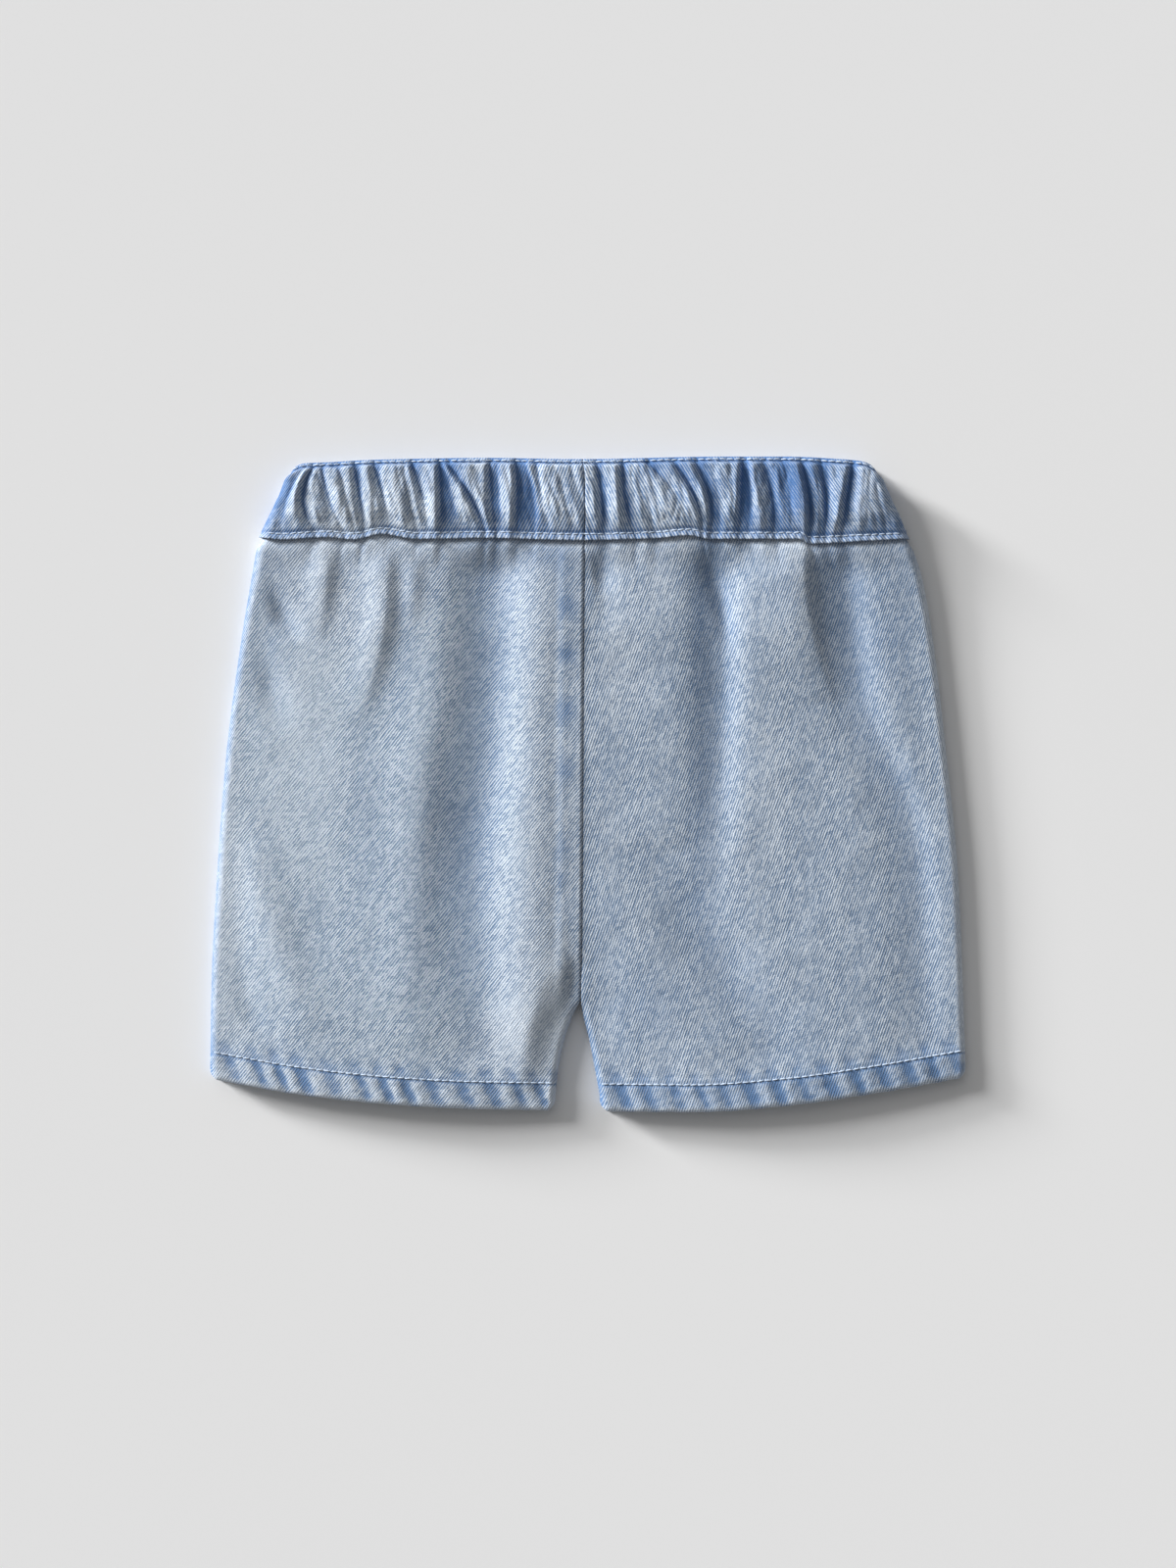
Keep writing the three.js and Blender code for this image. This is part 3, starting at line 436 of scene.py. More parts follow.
class Half:
    """One half of the garment. out is -1 on the left and 1 on the right, away from the centre seam."""

    def __init__(self, name, out):
        self.name = name
        self.out = out
        self.side = curve(OUTLINE, "y", name)
        seam = curve(MIDDLE_EDGES, "y", name)
        self.middle = lambda y: seam(y) + out * CLOTH_PARTING / 2
        self.hem = curve(HEM_EDGES, "share", name)
        self.foot_y = foot_at(self.side(BAND_FOOT_Y))
        self.top_y = top_at(self.side(BAND_TOP_Y))
        self.gathers = GATHERS[name]

    def band_side(self, v):
        return self.side(mix(self.foot_y, self.top_y, v))

    def band_middle(self, v):
        return self.middle(mix(foot_at(0.0), top_at(0.0), v))

    def waist_x(self, share):
        """Where a share of a leg's width, from its side to the centre, meets the waistband's foot."""
        start = self.band_side(0.0) - self.out * BAND_RADIUS
        end = self.band_middle(0.0) + self.out * FLAT_WIDTH
        return mix(start, end, share)

    def gather_height(self, x, v):
        """Height of the gathers over the flat casing. The crests are broad and the hollows narrow."""
        out = self.out
        v = np.broadcast_to(v, x.shape)
        places = [out * over_stations(xs, v) for xs, _ in self.gathers] + [out * self.band_middle(v)]
        rises = [np.maximum(0, over_stations(rise, v)) for _, rise in self.gathers]
        rises.append(np.full(x.shape, SEAM_RISE))
        at = out * x
        height = np.where(at >= places[0], rises[0], 0.0)
        for i in range(len(places) - 1):
            near, far = places[i], places[i + 1]
            inside = (at < near) & (at >= far)
            share = np.clip((near - at) / np.maximum(near - far, 0.1), 0, 1)
            low = np.minimum(rises[i], rises[i + 1])
            high = np.maximum(rises[i], rises[i + 1])
            from_low = np.where(rises[i] < rises[i + 1], share, 1 - share)
            gentle = mix(from_low, np.sin(from_low * math.pi / 2), 0.75)
            faces_left = (rises[i] < rises[i + 1]) == (out < 0)
            profile = np.where(faces_left, gentle, from_low ** 0.6)
            height = np.where(inside, mix(low, high, profile), height)
        height = np.where(at < places[-1], rises[-1], height)
        return height * stitch_hold(v) * GATHER_HEIGHT


LEFT = Half("left", -1)
RIGHT = Half("right", 1)


def corner_cut(radius, inset):
    inside = np.clip(inset, 0, radius)
    return radius - np.sqrt(radius ** 2 - (radius - inside) ** 2)


# Small irregularities of real cloth

def wrinkle_noise(x, y, seed, size):
    """Smooth noise from -1 to 1 made of a few crossing waves."""
    rng = np.random.default_rng(seed)
    total = np.zeros_like(x)
    for _ in range(7):
        angle = rng.uniform(0, 2 * math.pi)
        wave = size * rng.uniform(0.7, 1.6)
        phase = rng.uniform(0, 2 * math.pi)
        bend = rng.uniform(0, 2 * math.pi)
        across = x * math.cos(angle) + y * math.sin(angle)
        along = -x * math.sin(angle) + y * math.cos(angle)
        swing = 1.2 * np.sin(2 * math.pi * along / (2.3 * wave) + bend)
        total += np.sin(2 * math.pi * across / wave + phase + swing)
    return total / 7


# The legs

def leg_points(half, back, turn, share, inseam, above):
    """Points on the outer surface of a leg, from arrays of equal shape."""
    out = half.out
    waist_x = half.waist_x(share)
    foot = foot_at(waist_x)
    hem = half.hem(share)
    rounding = np.maximum(turn, inseam)
    hem_radius = (HEM_HEIGHT - SEAM_GAP) / 2
    inset = hem_radius * (1 - np.sin(rounding * math.pi / 2))
    cut = np.where(rounding > 0, corner_cut(HEM_CORNER, inset), 0)
    y = hem + above + cut * ease(HEM_TURN, 0, above)
    below = foot - y
    down = np.clip(below / (foot - hem), 0, 1)
    side_y = mix(half.foot_y, half.hem(0.0), down)
    side_x = half.side(side_y) - out * LAYER_STEP * (1 - ease(0, 5, below))
    middle_y = mix(foot_at(0.0), half.hem(1.0), down)
    middle_x = half.middle(middle_y)
    parted = ease(CROTCH_Y + 5, CROTCH_Y - 4, middle_y)

    waist = np.exp(-((np.maximum(0, below) / WAIST_FALL) ** 2))
    edge = mix(SIDE_HEIGHT, BAND_HEIGHT - LAYER_STEP, waist)
    edge = edge + (HEM_HEIGHT - SIDE_HEIGHT) * ease(*HEM_LEVELS, above)
    at_waist = 1 - ease(0, 8, below)
    roll_floor = LAYER_STEP * at_waist
    floor = (LAYER_STEP + FRONT_HOLLOW * ease(0, 0.08, share)) * at_waist
    radius = (edge - roll_floor - SEAM_GAP) / 2
    side_start = side_x - out * radius
    middle_start = middle_x + out * mix(FLAT_WIDTH, radius, parted)

    side_angle = turn * math.pi / 2
    quarter = inseam * math.pi / 2
    x = mix(side_start, middle_start, share)
    x = np.where(turn > 0, side_x - out * radius * (1 - np.sin(side_angle)), x)
    rolled = mix(FLAT_WIDTH * (1 - inseam), radius * (1 - np.sin(quarter)), parted)
    x = np.where(inseam > 0, middle_x + out * rolled, x)
    angle = side_angle + quarter * parted
    drop = radius * (1 - np.cos(angle))
    if not back:
        level = np.where(turn > 0, roll_floor, floor)
        furrow = FRONT_FURROW * np.exp(-(((above - HEM_STITCH_ABOVE) / 1.1) ** 2))
        level = level + furrow * (turn == 0)
        return x, y, level + drop, below, parted

    near_inseam = ease(CROTCH_Y + 14, CROTCH_Y - 10, middle_y)
    inward = ease(0, 0.1, share) * mix(1, 1 - ease(0.9, 1, share), near_inseam)
    opening = ease(CROTCH_Y + 60, CROTCH_Y - 34, middle_y)
    crown = CROWN_RISE * np.sin(math.pi * share * mix(0.5, 1, opening)) * ease(0, 40, below)
    folds = fold_lift(x, y) * ease(0, 16, below) * ease(2, 12, above)
    wave = half.gather_height(waist_x, 0.0) * np.exp(-((below / RIPPLE_REACH) ** 2))
    from_seam = (x - middle_x) * out
    turned = np.zeros_like(x)
    if out < 0:
        lies_over = ease(ALLOWANCE + 2.4, ALLOWANCE - 1.6, from_seam)
        lies_over = lies_over * ease(CROTCH_Y - 4, CROTCH_Y + 26, middle_y)
        turned = ALLOWANCE_RISE * lies_over * ease(0, 6, below)
    uneven = sum(row["height"] * wrinkle_noise(x, y, row["seed"], row["size"]) for row in UNEVEN_CLOTH)
    swell = SWELL_BELOW_BAND * ease(0, 3, below) * ease(12, 3, below)
    height = np.maximum(edge + wave + swell + (crown + folds + uneven) * inward, THINNEST) + turned
    height = height + hem_relief(half, x, above)
    height = height - seam_roll(from_seam, 0.8 if out < 0 else 0.35) * (1 - parted)
    return x, y, height - drop, below, parted


def seam_roll(from_seam, depth):
    """How far a panel turns down at the centre back seam."""
    rolled = np.clip(1 - from_seam / SEAM_ROLL, 0, 1)
    return depth * (1 - np.sqrt(1 - 0.98 * rolled ** 2))


def hem_rope(half, x, above):
    """The slanted puckers of a turned hem: near 1 in a blue hollow, and near -1 on a pale ridge."""
    slanted = x + ROPE_SLANT * above
    wander = 3.4 * wrinkle_noise(slanted, 0 * x, 31 + half.out, 37)
    turns = (slanted + wander) / ROPE_PITCH
    rng = np.random.default_rng(33 + half.out)
    strengths = rng.uniform(0.6, 1.15, ROPES)
    widths = rng.uniform(-0.35, 0.25, ROPES)
    number = np.floor(turns).astype(int) + ROPES // 2
    wave = np.cos(2 * math.pi * (turns - np.floor(turns) - 0.5)) + widths[number]
    return np.clip(wave, -1, 1) * strengths[number] + 0.45 * wrinkle_noise(x, 1.5 * above, 32, 6)


def hem_relief(half, x, above):
    """Height of the puckers in the turned hem, which the stitches pull in."""
    on_hem = ease(HEM_STITCH_ABOVE, HEM_STITCH_ABOVE - 2, above) * ease(-0.5, 2, above)
    furrow = np.exp(-(((above - HEM_STITCH_ABOVE) / 0.8) ** 2))
    step = 0.45 * ease(HEM_STITCH_ABOVE + 2.2, HEM_STITCH_ABOVE + 0.6, above) * ease(0, 2, above)
    bulge = np.exp(-(((above - HEM_STITCH_ABOVE - 3) / 2.5) ** 2))
    rope = hem_rope(half, x, above)
    return step - ROPE_HEIGHT * rope * on_hem - 0.35 * furrow - 0.16 * bulge * rope


# Meshes from grids

# Steps over which cloth turns round a side, from the fold to the flat
TURNING = np.linspace(1, 0, SIDE_STEPS + 1)[:-1]


def oriented(points, faces):
    """The faces, turned round if they point inwards."""
    a, b, c, d = (points[faces[:, k]] for k in range(4))
    volume = (a * np.cross(b, c)).sum() + (a * np.cross(c, d)).sum()
    return faces if volume > 0 else faces[:, ::-1]


def grid_faces(columns, rows, first, flipped):
    i, j = np.meshgrid(np.arange(columns - 1), np.arange(rows - 1), indexing="ij")
    a = (first + i * rows + j).ravel()
    quads = np.stack([a, a + rows, a + rows + 1, a + 1], axis=1)
    return quads[:, ::-1] if flipped else quads


def add_object(name, data):
    made = bpy.data.objects.new(name, data)
    bpy.context.scene.collection.objects.link(made)
    return made


def shell(name, outer, inner, uv, marks):
    """A closed sheet of cloth from two grids of points in mm. marks are values painted on its outer grid."""
    columns, rows = outer.shape[:2]
    count = columns * rows
    points = np.concatenate([outer.reshape(-1, 3), inner.reshape(-1, 3)])
    faces = [grid_faces(columns, rows, 0, False), grid_faces(columns, rows, count, True)]

    def rim(line, flipped):
        quads = np.stack([line[:-1], line[1:], line[1:] + count, line[:-1] + count], axis=1)
        faces.append(quads[:, ::-1] if flipped else quads)

    across = np.arange(columns) * rows
    down = np.arange(rows)
    rim(across, True)
    rim(across + rows - 1, False)
    rim(down, False)
    rim(down + (columns - 1) * rows, True)
    faces = oriented(points, np.concatenate(faces))
    mesh = bpy.data.meshes.new(name)
    mesh.from_pydata((points * MM).tolist(), [], faces.tolist())
    uv = np.concatenate([uv.reshape(-1, 2), uv.reshape(-1, 2)]) * MM
    layer = mesh.uv_layers.new(name="cloth")
    corners = np.empty(len(mesh.loops), dtype=np.int32)
    mesh.loops.foreach_get("vertex_index", corners)
    layer.data.foreach_set("uv", uv[corners].astype(np.float32).ravel())
    for mark, values in marks.items():
        attribute = mesh.attributes.new(mark, "FLOAT", "POINT")
        both = np.concatenate([values.ravel(), np.zeros(count)])
        attribute.data.foreach_set("value", both.astype(np.float32))
    mesh.shade_smooth()
    return add_object(name, mesh)


def normals_of(points, further, back):
    """Unit normals of a grid of points, where further is the same grid moved on a little along its rows."""
    across = np.gradient(points, axis=0)
    normal = np.cross(across, further - points)
    normal /= np.maximum(np.linalg.norm(normal, axis=2, keepdims=True), 1e-9)
    middle = normal[normal.shape[0] // 2, normal.shape[1] // 2, 2]
    return normal if (middle > 0) == back else -normal


def leg_cloth(half, back):
    """A leg panel: its top edge is tucked into the waistband, and its hem is turned up inside."""
    flat = BACK_COLUMNS if back else FRONT_COLUMNS
    zeros = np.zeros(SIDE_STEPS)
    turn = np.concatenate([TURNING, np.zeros(flat), zeros])[:, None]
    share = np.concatenate([zeros, np.linspace(0, 1, flat), zeros + 1])[:, None]
    inseam = np.concatenate([zeros, np.zeros(flat), TURNING[::-1]])[:, None]
    length = foot_at(half.waist_x(share)) - half.hem(share)

    def surface(above):
        above = above + 0 * share
        every = np.broadcast_arrays(turn, share, inseam, above)
        x, y, z, *_ = leg_points(half, back, *every)
        return np.stack([x, y, z], axis=2)

    def layer(above, depth):
        points = surface(above)
        normal = normals_of(points, surface(above + 0.3), back)
        return points - normal * depth

    fold_radius = CLOTH_WALL + SEAM_GAP / 2
    folded = 2 * fold_radius
    hollow = SEAM_GAP / 2
    down = np.linspace(1, 0, BACK_ROWS if back else FRONT_ROWS)[None, :]
    body = mix(HEM_TURN + 1.2, length + TUCKED, down)
    hem_rows = np.linspace(HEM_TURN, fold_radius, HEM_ROWS)[None, :]
    angles = np.linspace(0, math.pi, FOLD_STEPS + 2)[1:-1][None, :]
    turned = hem_rows[:, ::-1]

    outer = [
        layer(body, 0),
        layer(hem_rows, 0),
        layer(fold_radius * (1 - np.sin(angles)), (fold_radius * (1 - np.cos(angles)))[..., None]),
        layer(turned, folded),
    ]
    inner = [
        layer(body, CLOTH_WALL),
        layer(hem_rows, CLOTH_WALL),
        layer(fold_radius - hollow * np.sin(angles), (fold_radius - hollow * np.cos(angles))[..., None]),
        layer(turned, CLOTH_WALL + SEAM_GAP),
    ]
    outer = np.concatenate(outer, axis=1)
    inner = np.concatenate(inner, axis=1)
    along = [body + 0 * share, hem_rows + 0 * share, -fold_radius * angles + fold_radius + 0 * share]
    along.append(-fold_radius * math.pi - turned + 2 * fold_radius + 0 * share)
    along = np.concatenate(along, axis=1)

    # The pattern of the weave lies over the flat cloth, and runs on round the side and over the hem.
    x = outer[..., 0]
    y = along + half.hem(share)
    across = x + np.clip(turn, 0, 1) * 2.5 * half.out
    slant = math.radians(GRAIN_SLANT[half.name])
    u = across * math.cos(slant) + y * math.sin(slant)
    v = y * math.cos(slant) - across * math.sin(slant)
    on_outside = np.arange(outer.shape[1])[None, :] < down.shape[1] + HEM_ROWS + FOLD_STEPS // 2
    marks = leg_marks(half, back, x, y, along, length, share + 0 * along, on_outside)
    name = ("back_" if back else "front_") + half.name + "_leg_cloth"
    return shell(name, outer, inner, np.stack([u, v], axis=2), marks)


def spots(x, y, table):
    total = np.zeros_like(x)
    for spot in table:
        dx = (x - spot["x"]) / spot["wide"]
        dy = (y - spot["y"]) / spot["high"]
        total += spot["depth"] * np.exp(-dx ** 2 - dy ** 2)
    return total


def leg_marks(half, back, x, y, above, length, share, on_outside):
    """Where the cloth of a leg is bluer or paler than elsewhere."""
    below = length - above
    if back:
        ripple = half.gather_height(half.waist_x(share), 0.0)
        folds = fold_lift(x, y)
    else:
        ripple = 1.2 + 0.6 * wrinkle_noise(x, y, 21, 14)
        folds = 1.5 * wrinkle_noise(x, y, 22, 60)
    # The hollows of the ripples and of the folds are bluer: dye that rubbing left there, and painted shade in
    # the hollows. Their crests are paler where the cloth wore.
    near_waist = np.exp(-((below / 14) ** 2))
    blue = 0.35 * np.clip(0.9 - ripple, -0.5, 1) * near_waist
    blue += 0.17 * np.clip(-folds - 0.4, 0, 3)
    pale = 0.20 * np.clip(folds - 0.3, 0, 3) + 0.25 * np.clip(ripple - 1.2, 0, 2) * near_waist
    rope = hem_rope(half, x, above)
    on_hem = ease(HEM_STITCH_ABOVE + 0.2, HEM_STITCH_ABOVE - 1.0, above) * on_outside
    worn_edge = ease(0.5, 3.5, above)
    rope_dye = 1.75 * np.clip(rope, 0, 1) + (0.3 if half.out > 0 else 0.0)
    blue += rope_dye * on_hem * mix(0.3, 1, worn_edge)
    pale += (0.35 * np.clip(-rope, 0, 1) + 0.9 * (1 - worn_edge)) * on_hem
    over_stitch = np.exp(-(((above - HEM_STITCH_ABOVE - 3.2) / 2.2) ** 2))
    blue += 0.85 * over_stitch * np.clip(0.25 + rope, 0, 1)
    line_above = np.exp(-(((above - HEM_STITCH_ABOVE - 0.75) / 0.45) ** 2))
    line_below = np.exp(-(((above - HEM_STITCH_ABOVE + 0.8) / 0.5) ** 2))
    blue += (0.5 * line_above + 1.0 * line_below) * on_outside
    if back and half.out < 0:
        blue += spots(x, y, SEAM_WEAR)
        edge = x - half.middle(y) + ALLOWANCE
        blue += 0.12 * np.exp(-((edge / 0.9) ** 2)) * ease(0, 12, below) * ease(-80, -60, y)
    # Painted shade along the edges that face the light on the left, and painted light along the edges on the
    # right, which face away from it.
    facing_left = half.side(y) if half.out < 0 else half.middle(y)
    facing_right = half.middle(y) if half.out < 0 else half.side(y)
    legs_apart = ease(CROTCH_Y + 2, CROTCH_Y - 6, y)
    lit_edge_painted_shade = ease(3.2, 0.6, x - facing_left) * ease(0, 8, below)
    shaded_edge_painted_light = ease(4.0, 0.6, facing_right - x) * ease(0, 20, below)
    if half.out > 0:
        lit_edge_painted_shade *= legs_apart
        # The right leg is painted darker all over: painted shade, as on a leg that slopes away from the
        # light.
        pale -= 0.25
    else:
        shaded_edge_painted_light *= legs_apart
    pale += 1.3 * shaded_edge_painted_light - 0.55 * lit_edge_painted_shade
    blue += 0.35 * lit_edge_painted_shade * (1 + 0.6 * wrinkle_noise(x, y, 23, 9)) - 0.2 * shaded_edge_painted_light
    blue += 0.4 * ease(1.4, 0.3, x - facing_left) * lit_edge_painted_shade
    # Painted light on the legs just below the waistband, where the band's shadow falls.
    pale += 0.5 * np.exp(-((below / 9) ** 2))
    # Patches of dye and fading, with painted shade and painted light among them.
    if back:
        blue += spots(x, y, DYE_AND_PAINTED_SHADE_PATCHES)
        pale += spots(x, y, FADE_AND_PAINTED_LIGHT_PATCHES)
    return {"blue": blue, "pale": pale}


# The waistband

def band_lip(v):
    """How much thinner the band is along its stitched edge at the top, and at the row near its foot."""
    return 1.3 * ease(0.9, 1, v) + 0.45 * np.exp(-(((v - STITCH_ROW_SHARE) / 0.035) ** 2))


def band_line(half, turn, share, v):
    side = half.band_side(v)
    rolled = side - half.out * BAND_RADIUS * (1 - np.sin(turn * math.pi / 2))
    flat = mix(side - half.out * BAND_RADIUS, half.band_middle(v), share)
    return np.where(turn > 0, rolled, flat)


def band_y(x, v):
    nearest = np.minimum(x - LEFT.band_side(v), RIGHT.band_side(v) - x)
    return mix(foot_at(x), top_at(x) - corner_cut(BAND_CORNER, nearest), v)


def back_band_height(half, turn, x, v):
    """Height of the back of the band at its outer surface."""
    gathers = half.gather_height(x, v) * (1 - turn)
    free = ease(0.08, 0.25, v) * ease(1, 0.88, v)
    creases = np.abs(wrinkle_noise(x, 9 * v, 42, 6))
    creases = creases + 0.7 * np.abs(wrinkle_noise(x + 6 * v, 6 * v, 44, 3.6))
    slanted = 1 - np.minimum(1, 2.2 * np.abs(wrinkle_noise(x + 9 * v, 4 * v, 45, 11)))
    uneven = (0.25 * wrinkle_noise(x, 7 * v, 41, 7) + 0.75 * creases - 0.55 * slanted - 0.1) * free
    seam = seam_roll((x - half.band_middle(v)) * half.out, 1.3 if half.out < 0 else 0.6)
    below_stitches = ease(STITCH_ROW_SHARE + 0.01, STITCH_ROW_SHARE - 0.03, v)
    pucker = np.sin(2 * math.pi * (x + 9 * v + 0.8 * wrinkle_noise(x, 0 * x, 43, 13)) / STITCH_PITCH)
    edge = below_stitches * (0.25 + 0.16 * pucker)
    height = gathers + (uneven + edge) * (1 - turn) - seam - band_lip(v) * (1 - 0.6 * turn)
    return height, gathers


def band_shell(name, columns, out_of, height_at, back, room):
    """A folded casing. columns is a dict of arrays, one value for each column."""
    up = 1 if back else -1
    level = BAND_HEIGHT if back else 0.0
    turn = columns["turn"]
    facing = columns["out"] * np.sin(turn * math.pi / 2)
    upward = up * np.cos(turn * math.pi / 2)
    drop = BAND_RADIUS * (1 - np.cos(turn * math.pi / 2))

    def place(v, lift, retreat=0.0):
        x = out_of(v)
        y = band_y(x, v) - retreat
        z = level - up * drop
        return np.stack(np.broadcast_arrays(x + facing * lift, y, z + upward * lift), axis=2)

    v = np.linspace(0, 1, BAND_ROWS)[None, :]
    height, _ = height_at(out_of(v), v)
    top = height_at(out_of(np.array([[1.0]])), np.array([[1.0]]))[0]
    inner_depth = 0.8 - CASING_DEPTH - room
    radius = (top - inner_depth) / 2
    angles = np.linspace(0, math.pi, FOLD_STEPS + 2)[1:-1][None, :]
    top_v = np.array([[1.0]])
    end_retreat = radius * ease(0.9, 1, v)
    outer = [
        place(v, height, end_retreat),
        place(top_v, top - radius + radius * np.cos(angles), radius * (1 - np.sin(angles))),
    ]
    thin = radius - CLOTH_WALL
    inner = [
        place(v, height - CLOTH_WALL, end_retreat),
        place(top_v, top - radius + thin * np.cos(angles), radius - thin * np.sin(angles)),
    ]
    inside_v = np.linspace(1, 0, INSIDE_ROWS)[None, :]
    depth = mix(-CASING_DEPTH - room, inner_depth, ease(0.8, 1, inside_v))
    retreat = radius * ease(0.9, 1, inside_v)
    outer.append(place(inside_v, depth, retreat))
    inner.append(place(inside_v, depth + CLOTH_WALL, retreat))
    outer = np.concatenate(outer, axis=1)
    inner = np.concatenate(inner, axis=1)

    # The weave runs along the gathered cloth, so it is longer than the band's width.
    steps = np.hypot(np.diff(outer[..., 0], axis=0), np.diff(outer[..., 2], axis=0))
    run = np.concatenate([np.zeros((1, steps.shape[1])), np.cumsum(steps, axis=0)])
    run = run.mean(axis=1, keepdims=True) + 0 * run
    share_v = np.concatenate([v, 0 * angles + 1, inside_v], axis=1) + 0 * turn
    around = np.concatenate([v, 1 + angles * 0.04, 2.15 - inside_v], axis=1) + 0 * turn
    on_outside = np.concatenate([v * 0 + 1, angles < 2.2, inside_v * 0], axis=1) + 0 * turn
    gathers = height_at(out_of(share_v), share_v)[1]
    marks = band_marks(outer[..., 0], share_v, gathers, on_outside, back)
    return shell(name, outer, inner, np.stack([run, around * BAND_TALL], axis=2), marks)


def band_marks(x, v, gathers, outside, back):
    """The hollows between the gathers keep their dye and are painted with shade as well, and the crests have
    lost their dye. Painted shade and painted light also lie along the band's edges, its top and its right
    half.
    """
    # Painted shade along the left edge, which faces the light, and painted light along the right edge, which
    # faces away from it.
    lit_edge_painted_shade = ease(5, 1, x - LEFT.band_side(v))
    shaded_edge_painted_light = ease(9, 2, RIGHT.band_side(v) - x)
    hollow_dye_and_painted_shade = 1.5 * ease(1.7, 0.1, gathers) * mix(0.3, 1, ease(0.1, 0.4, v))
    blue = (hollow_dye_and_painted_shade + 0.1) * (1 - 0.5 * shaded_edge_painted_light)
    blue += 0.25 * lit_edge_painted_shade + 0.5 * ease(1.8, 0.4, x - LEFT.band_side(v))
    mottle = wrinkle_noise(x, BAND_TALL * v, 51, 15) + 0.4 * wrinkle_noise(x, 20 * v, 53, 5)
    blue += 0.35 * np.clip(mottle, -0.4, 1)
    pale = 0.7 * ease(1.8, 3.4, gathers) - 0.3 * lit_edge_painted_shade
    # Painted shade along the top of the band, against the light that its rolled edge catches.
    painted_top_shade = ease(0.9, 0.985, v)
    pale -= 0.6 * painted_top_shade
    blue += 0.45 * painted_top_shade
    if back:
        blue += spots(x, mix(BAND_FOOT_Y, BAND_CREST_Y, v), BAND_DYE_AND_PAINTED_SHADING_PATCHES)
        # The right half of the band is painted darker: painted shade for the deeper shadows among its
        # gathers.
        pale -= 0.5 * ease(-20, 50, x)
    # A blue line just above the foot row of stitches: painted shade along their furrow.
    blue += 0.7 * np.exp(-(((v - STITCH_ROW_SHARE - 0.03) / 0.02) ** 2))
    edge = ease(STITCH_ROW_SHARE, STITCH_ROW_SHARE - 0.03, v)
    blue = mix(blue, 0.3 + 0.3 * wrinkle_noise(x, BAND_TALL * v, 52, 5), edge)
    blue += 0.4 * np.exp(-(((v - STITCH_ROW_SHARE + 0.028) / 0.015) ** 2))
    pale = mix(pale, 0.0, edge)
    return {"blue": blue * outside + 0.3 * (1 - outside), "pale": pale * outside}


def back_band_cloth(half):
    turn = np.concatenate([TURNING, np.zeros(BAND_COLUMNS)])[:, None]
    share = np.concatenate([np.zeros(SIDE_STEPS), np.linspace(0, 1, BAND_COLUMNS)])[:, None]
    return band_shell(
        "waistband_back_" + half.name + "_cloth",
        {"turn": turn, "out": half.out},
        lambda v: band_line(half, turn, share, v),
        lambda x, v: back_band_height(half, turn, x, v + 0 * x),
        True,
        0.0,
    )


def front_hollow(x, v):
    """The hollows between the gathers of the front, from 0 to 1. They are hidden, and spaced unevenly."""
    phase = x / FRONT_WIDE * FRONT_HOLLOWS * 2 * math.pi + 1.3 * np.sin(x / 17) + 0.7 * np.sin(x / 7.3)
    wave = ease(0.4, 1, 0.5 + 0.5 * np.sin(phase + 0.8 * v))
    return wave * ease(0.02, 0.25, v) * (1 - 0.5 * ease(0.85, 1, v))


def front_furrow(v):
    """How far the two rows of stitches pull the front of the waistband in."""
    foot_row = np.exp(-(((v - STITCH_ROW_SHARE) / 0.03) ** 2))
    return FRONT_FURROW * np.maximum(foot_row, ease(TOP_ROW_SHARE - 0.05, TOP_ROW_SHARE - 0.01, v))


def front_band_cloth():
    flat = np.linspace(0, 1, 2 * BAND_COLUMNS)
    turn = np.concatenate([TURNING, np.zeros(len(flat)), TURNING[::-1]])[:, None]
    share = np.concatenate([np.zeros(SIDE_STEPS), flat, np.ones(SIDE_STEPS)])[:, None]
    out = np.where(share > 0.5, 1.0, -1.0)

    def line(v):
        left = LEFT.band_side(v) + BAND_RADIUS * (1 - np.sin(turn * math.pi / 2))
        right = RIGHT.band_side(v) - BAND_RADIUS * (1 - np.sin(turn * math.pi / 2))
        return mix(left, right, share)

    room = FRONT_HOLLOW * ease(0, 0.05, share) * ease(1, 0.95, share) * (1 - turn)

    def height(x, v):
        hollow = front_hollow(x, v + 0 * x)
        return -hollow * room - front_furrow(v), 2.2 - 2.2 * hollow

    return band_shell("waistband_front_cloth", {"turn": turn, "out": out}, line, height, False, room)


# Sewing

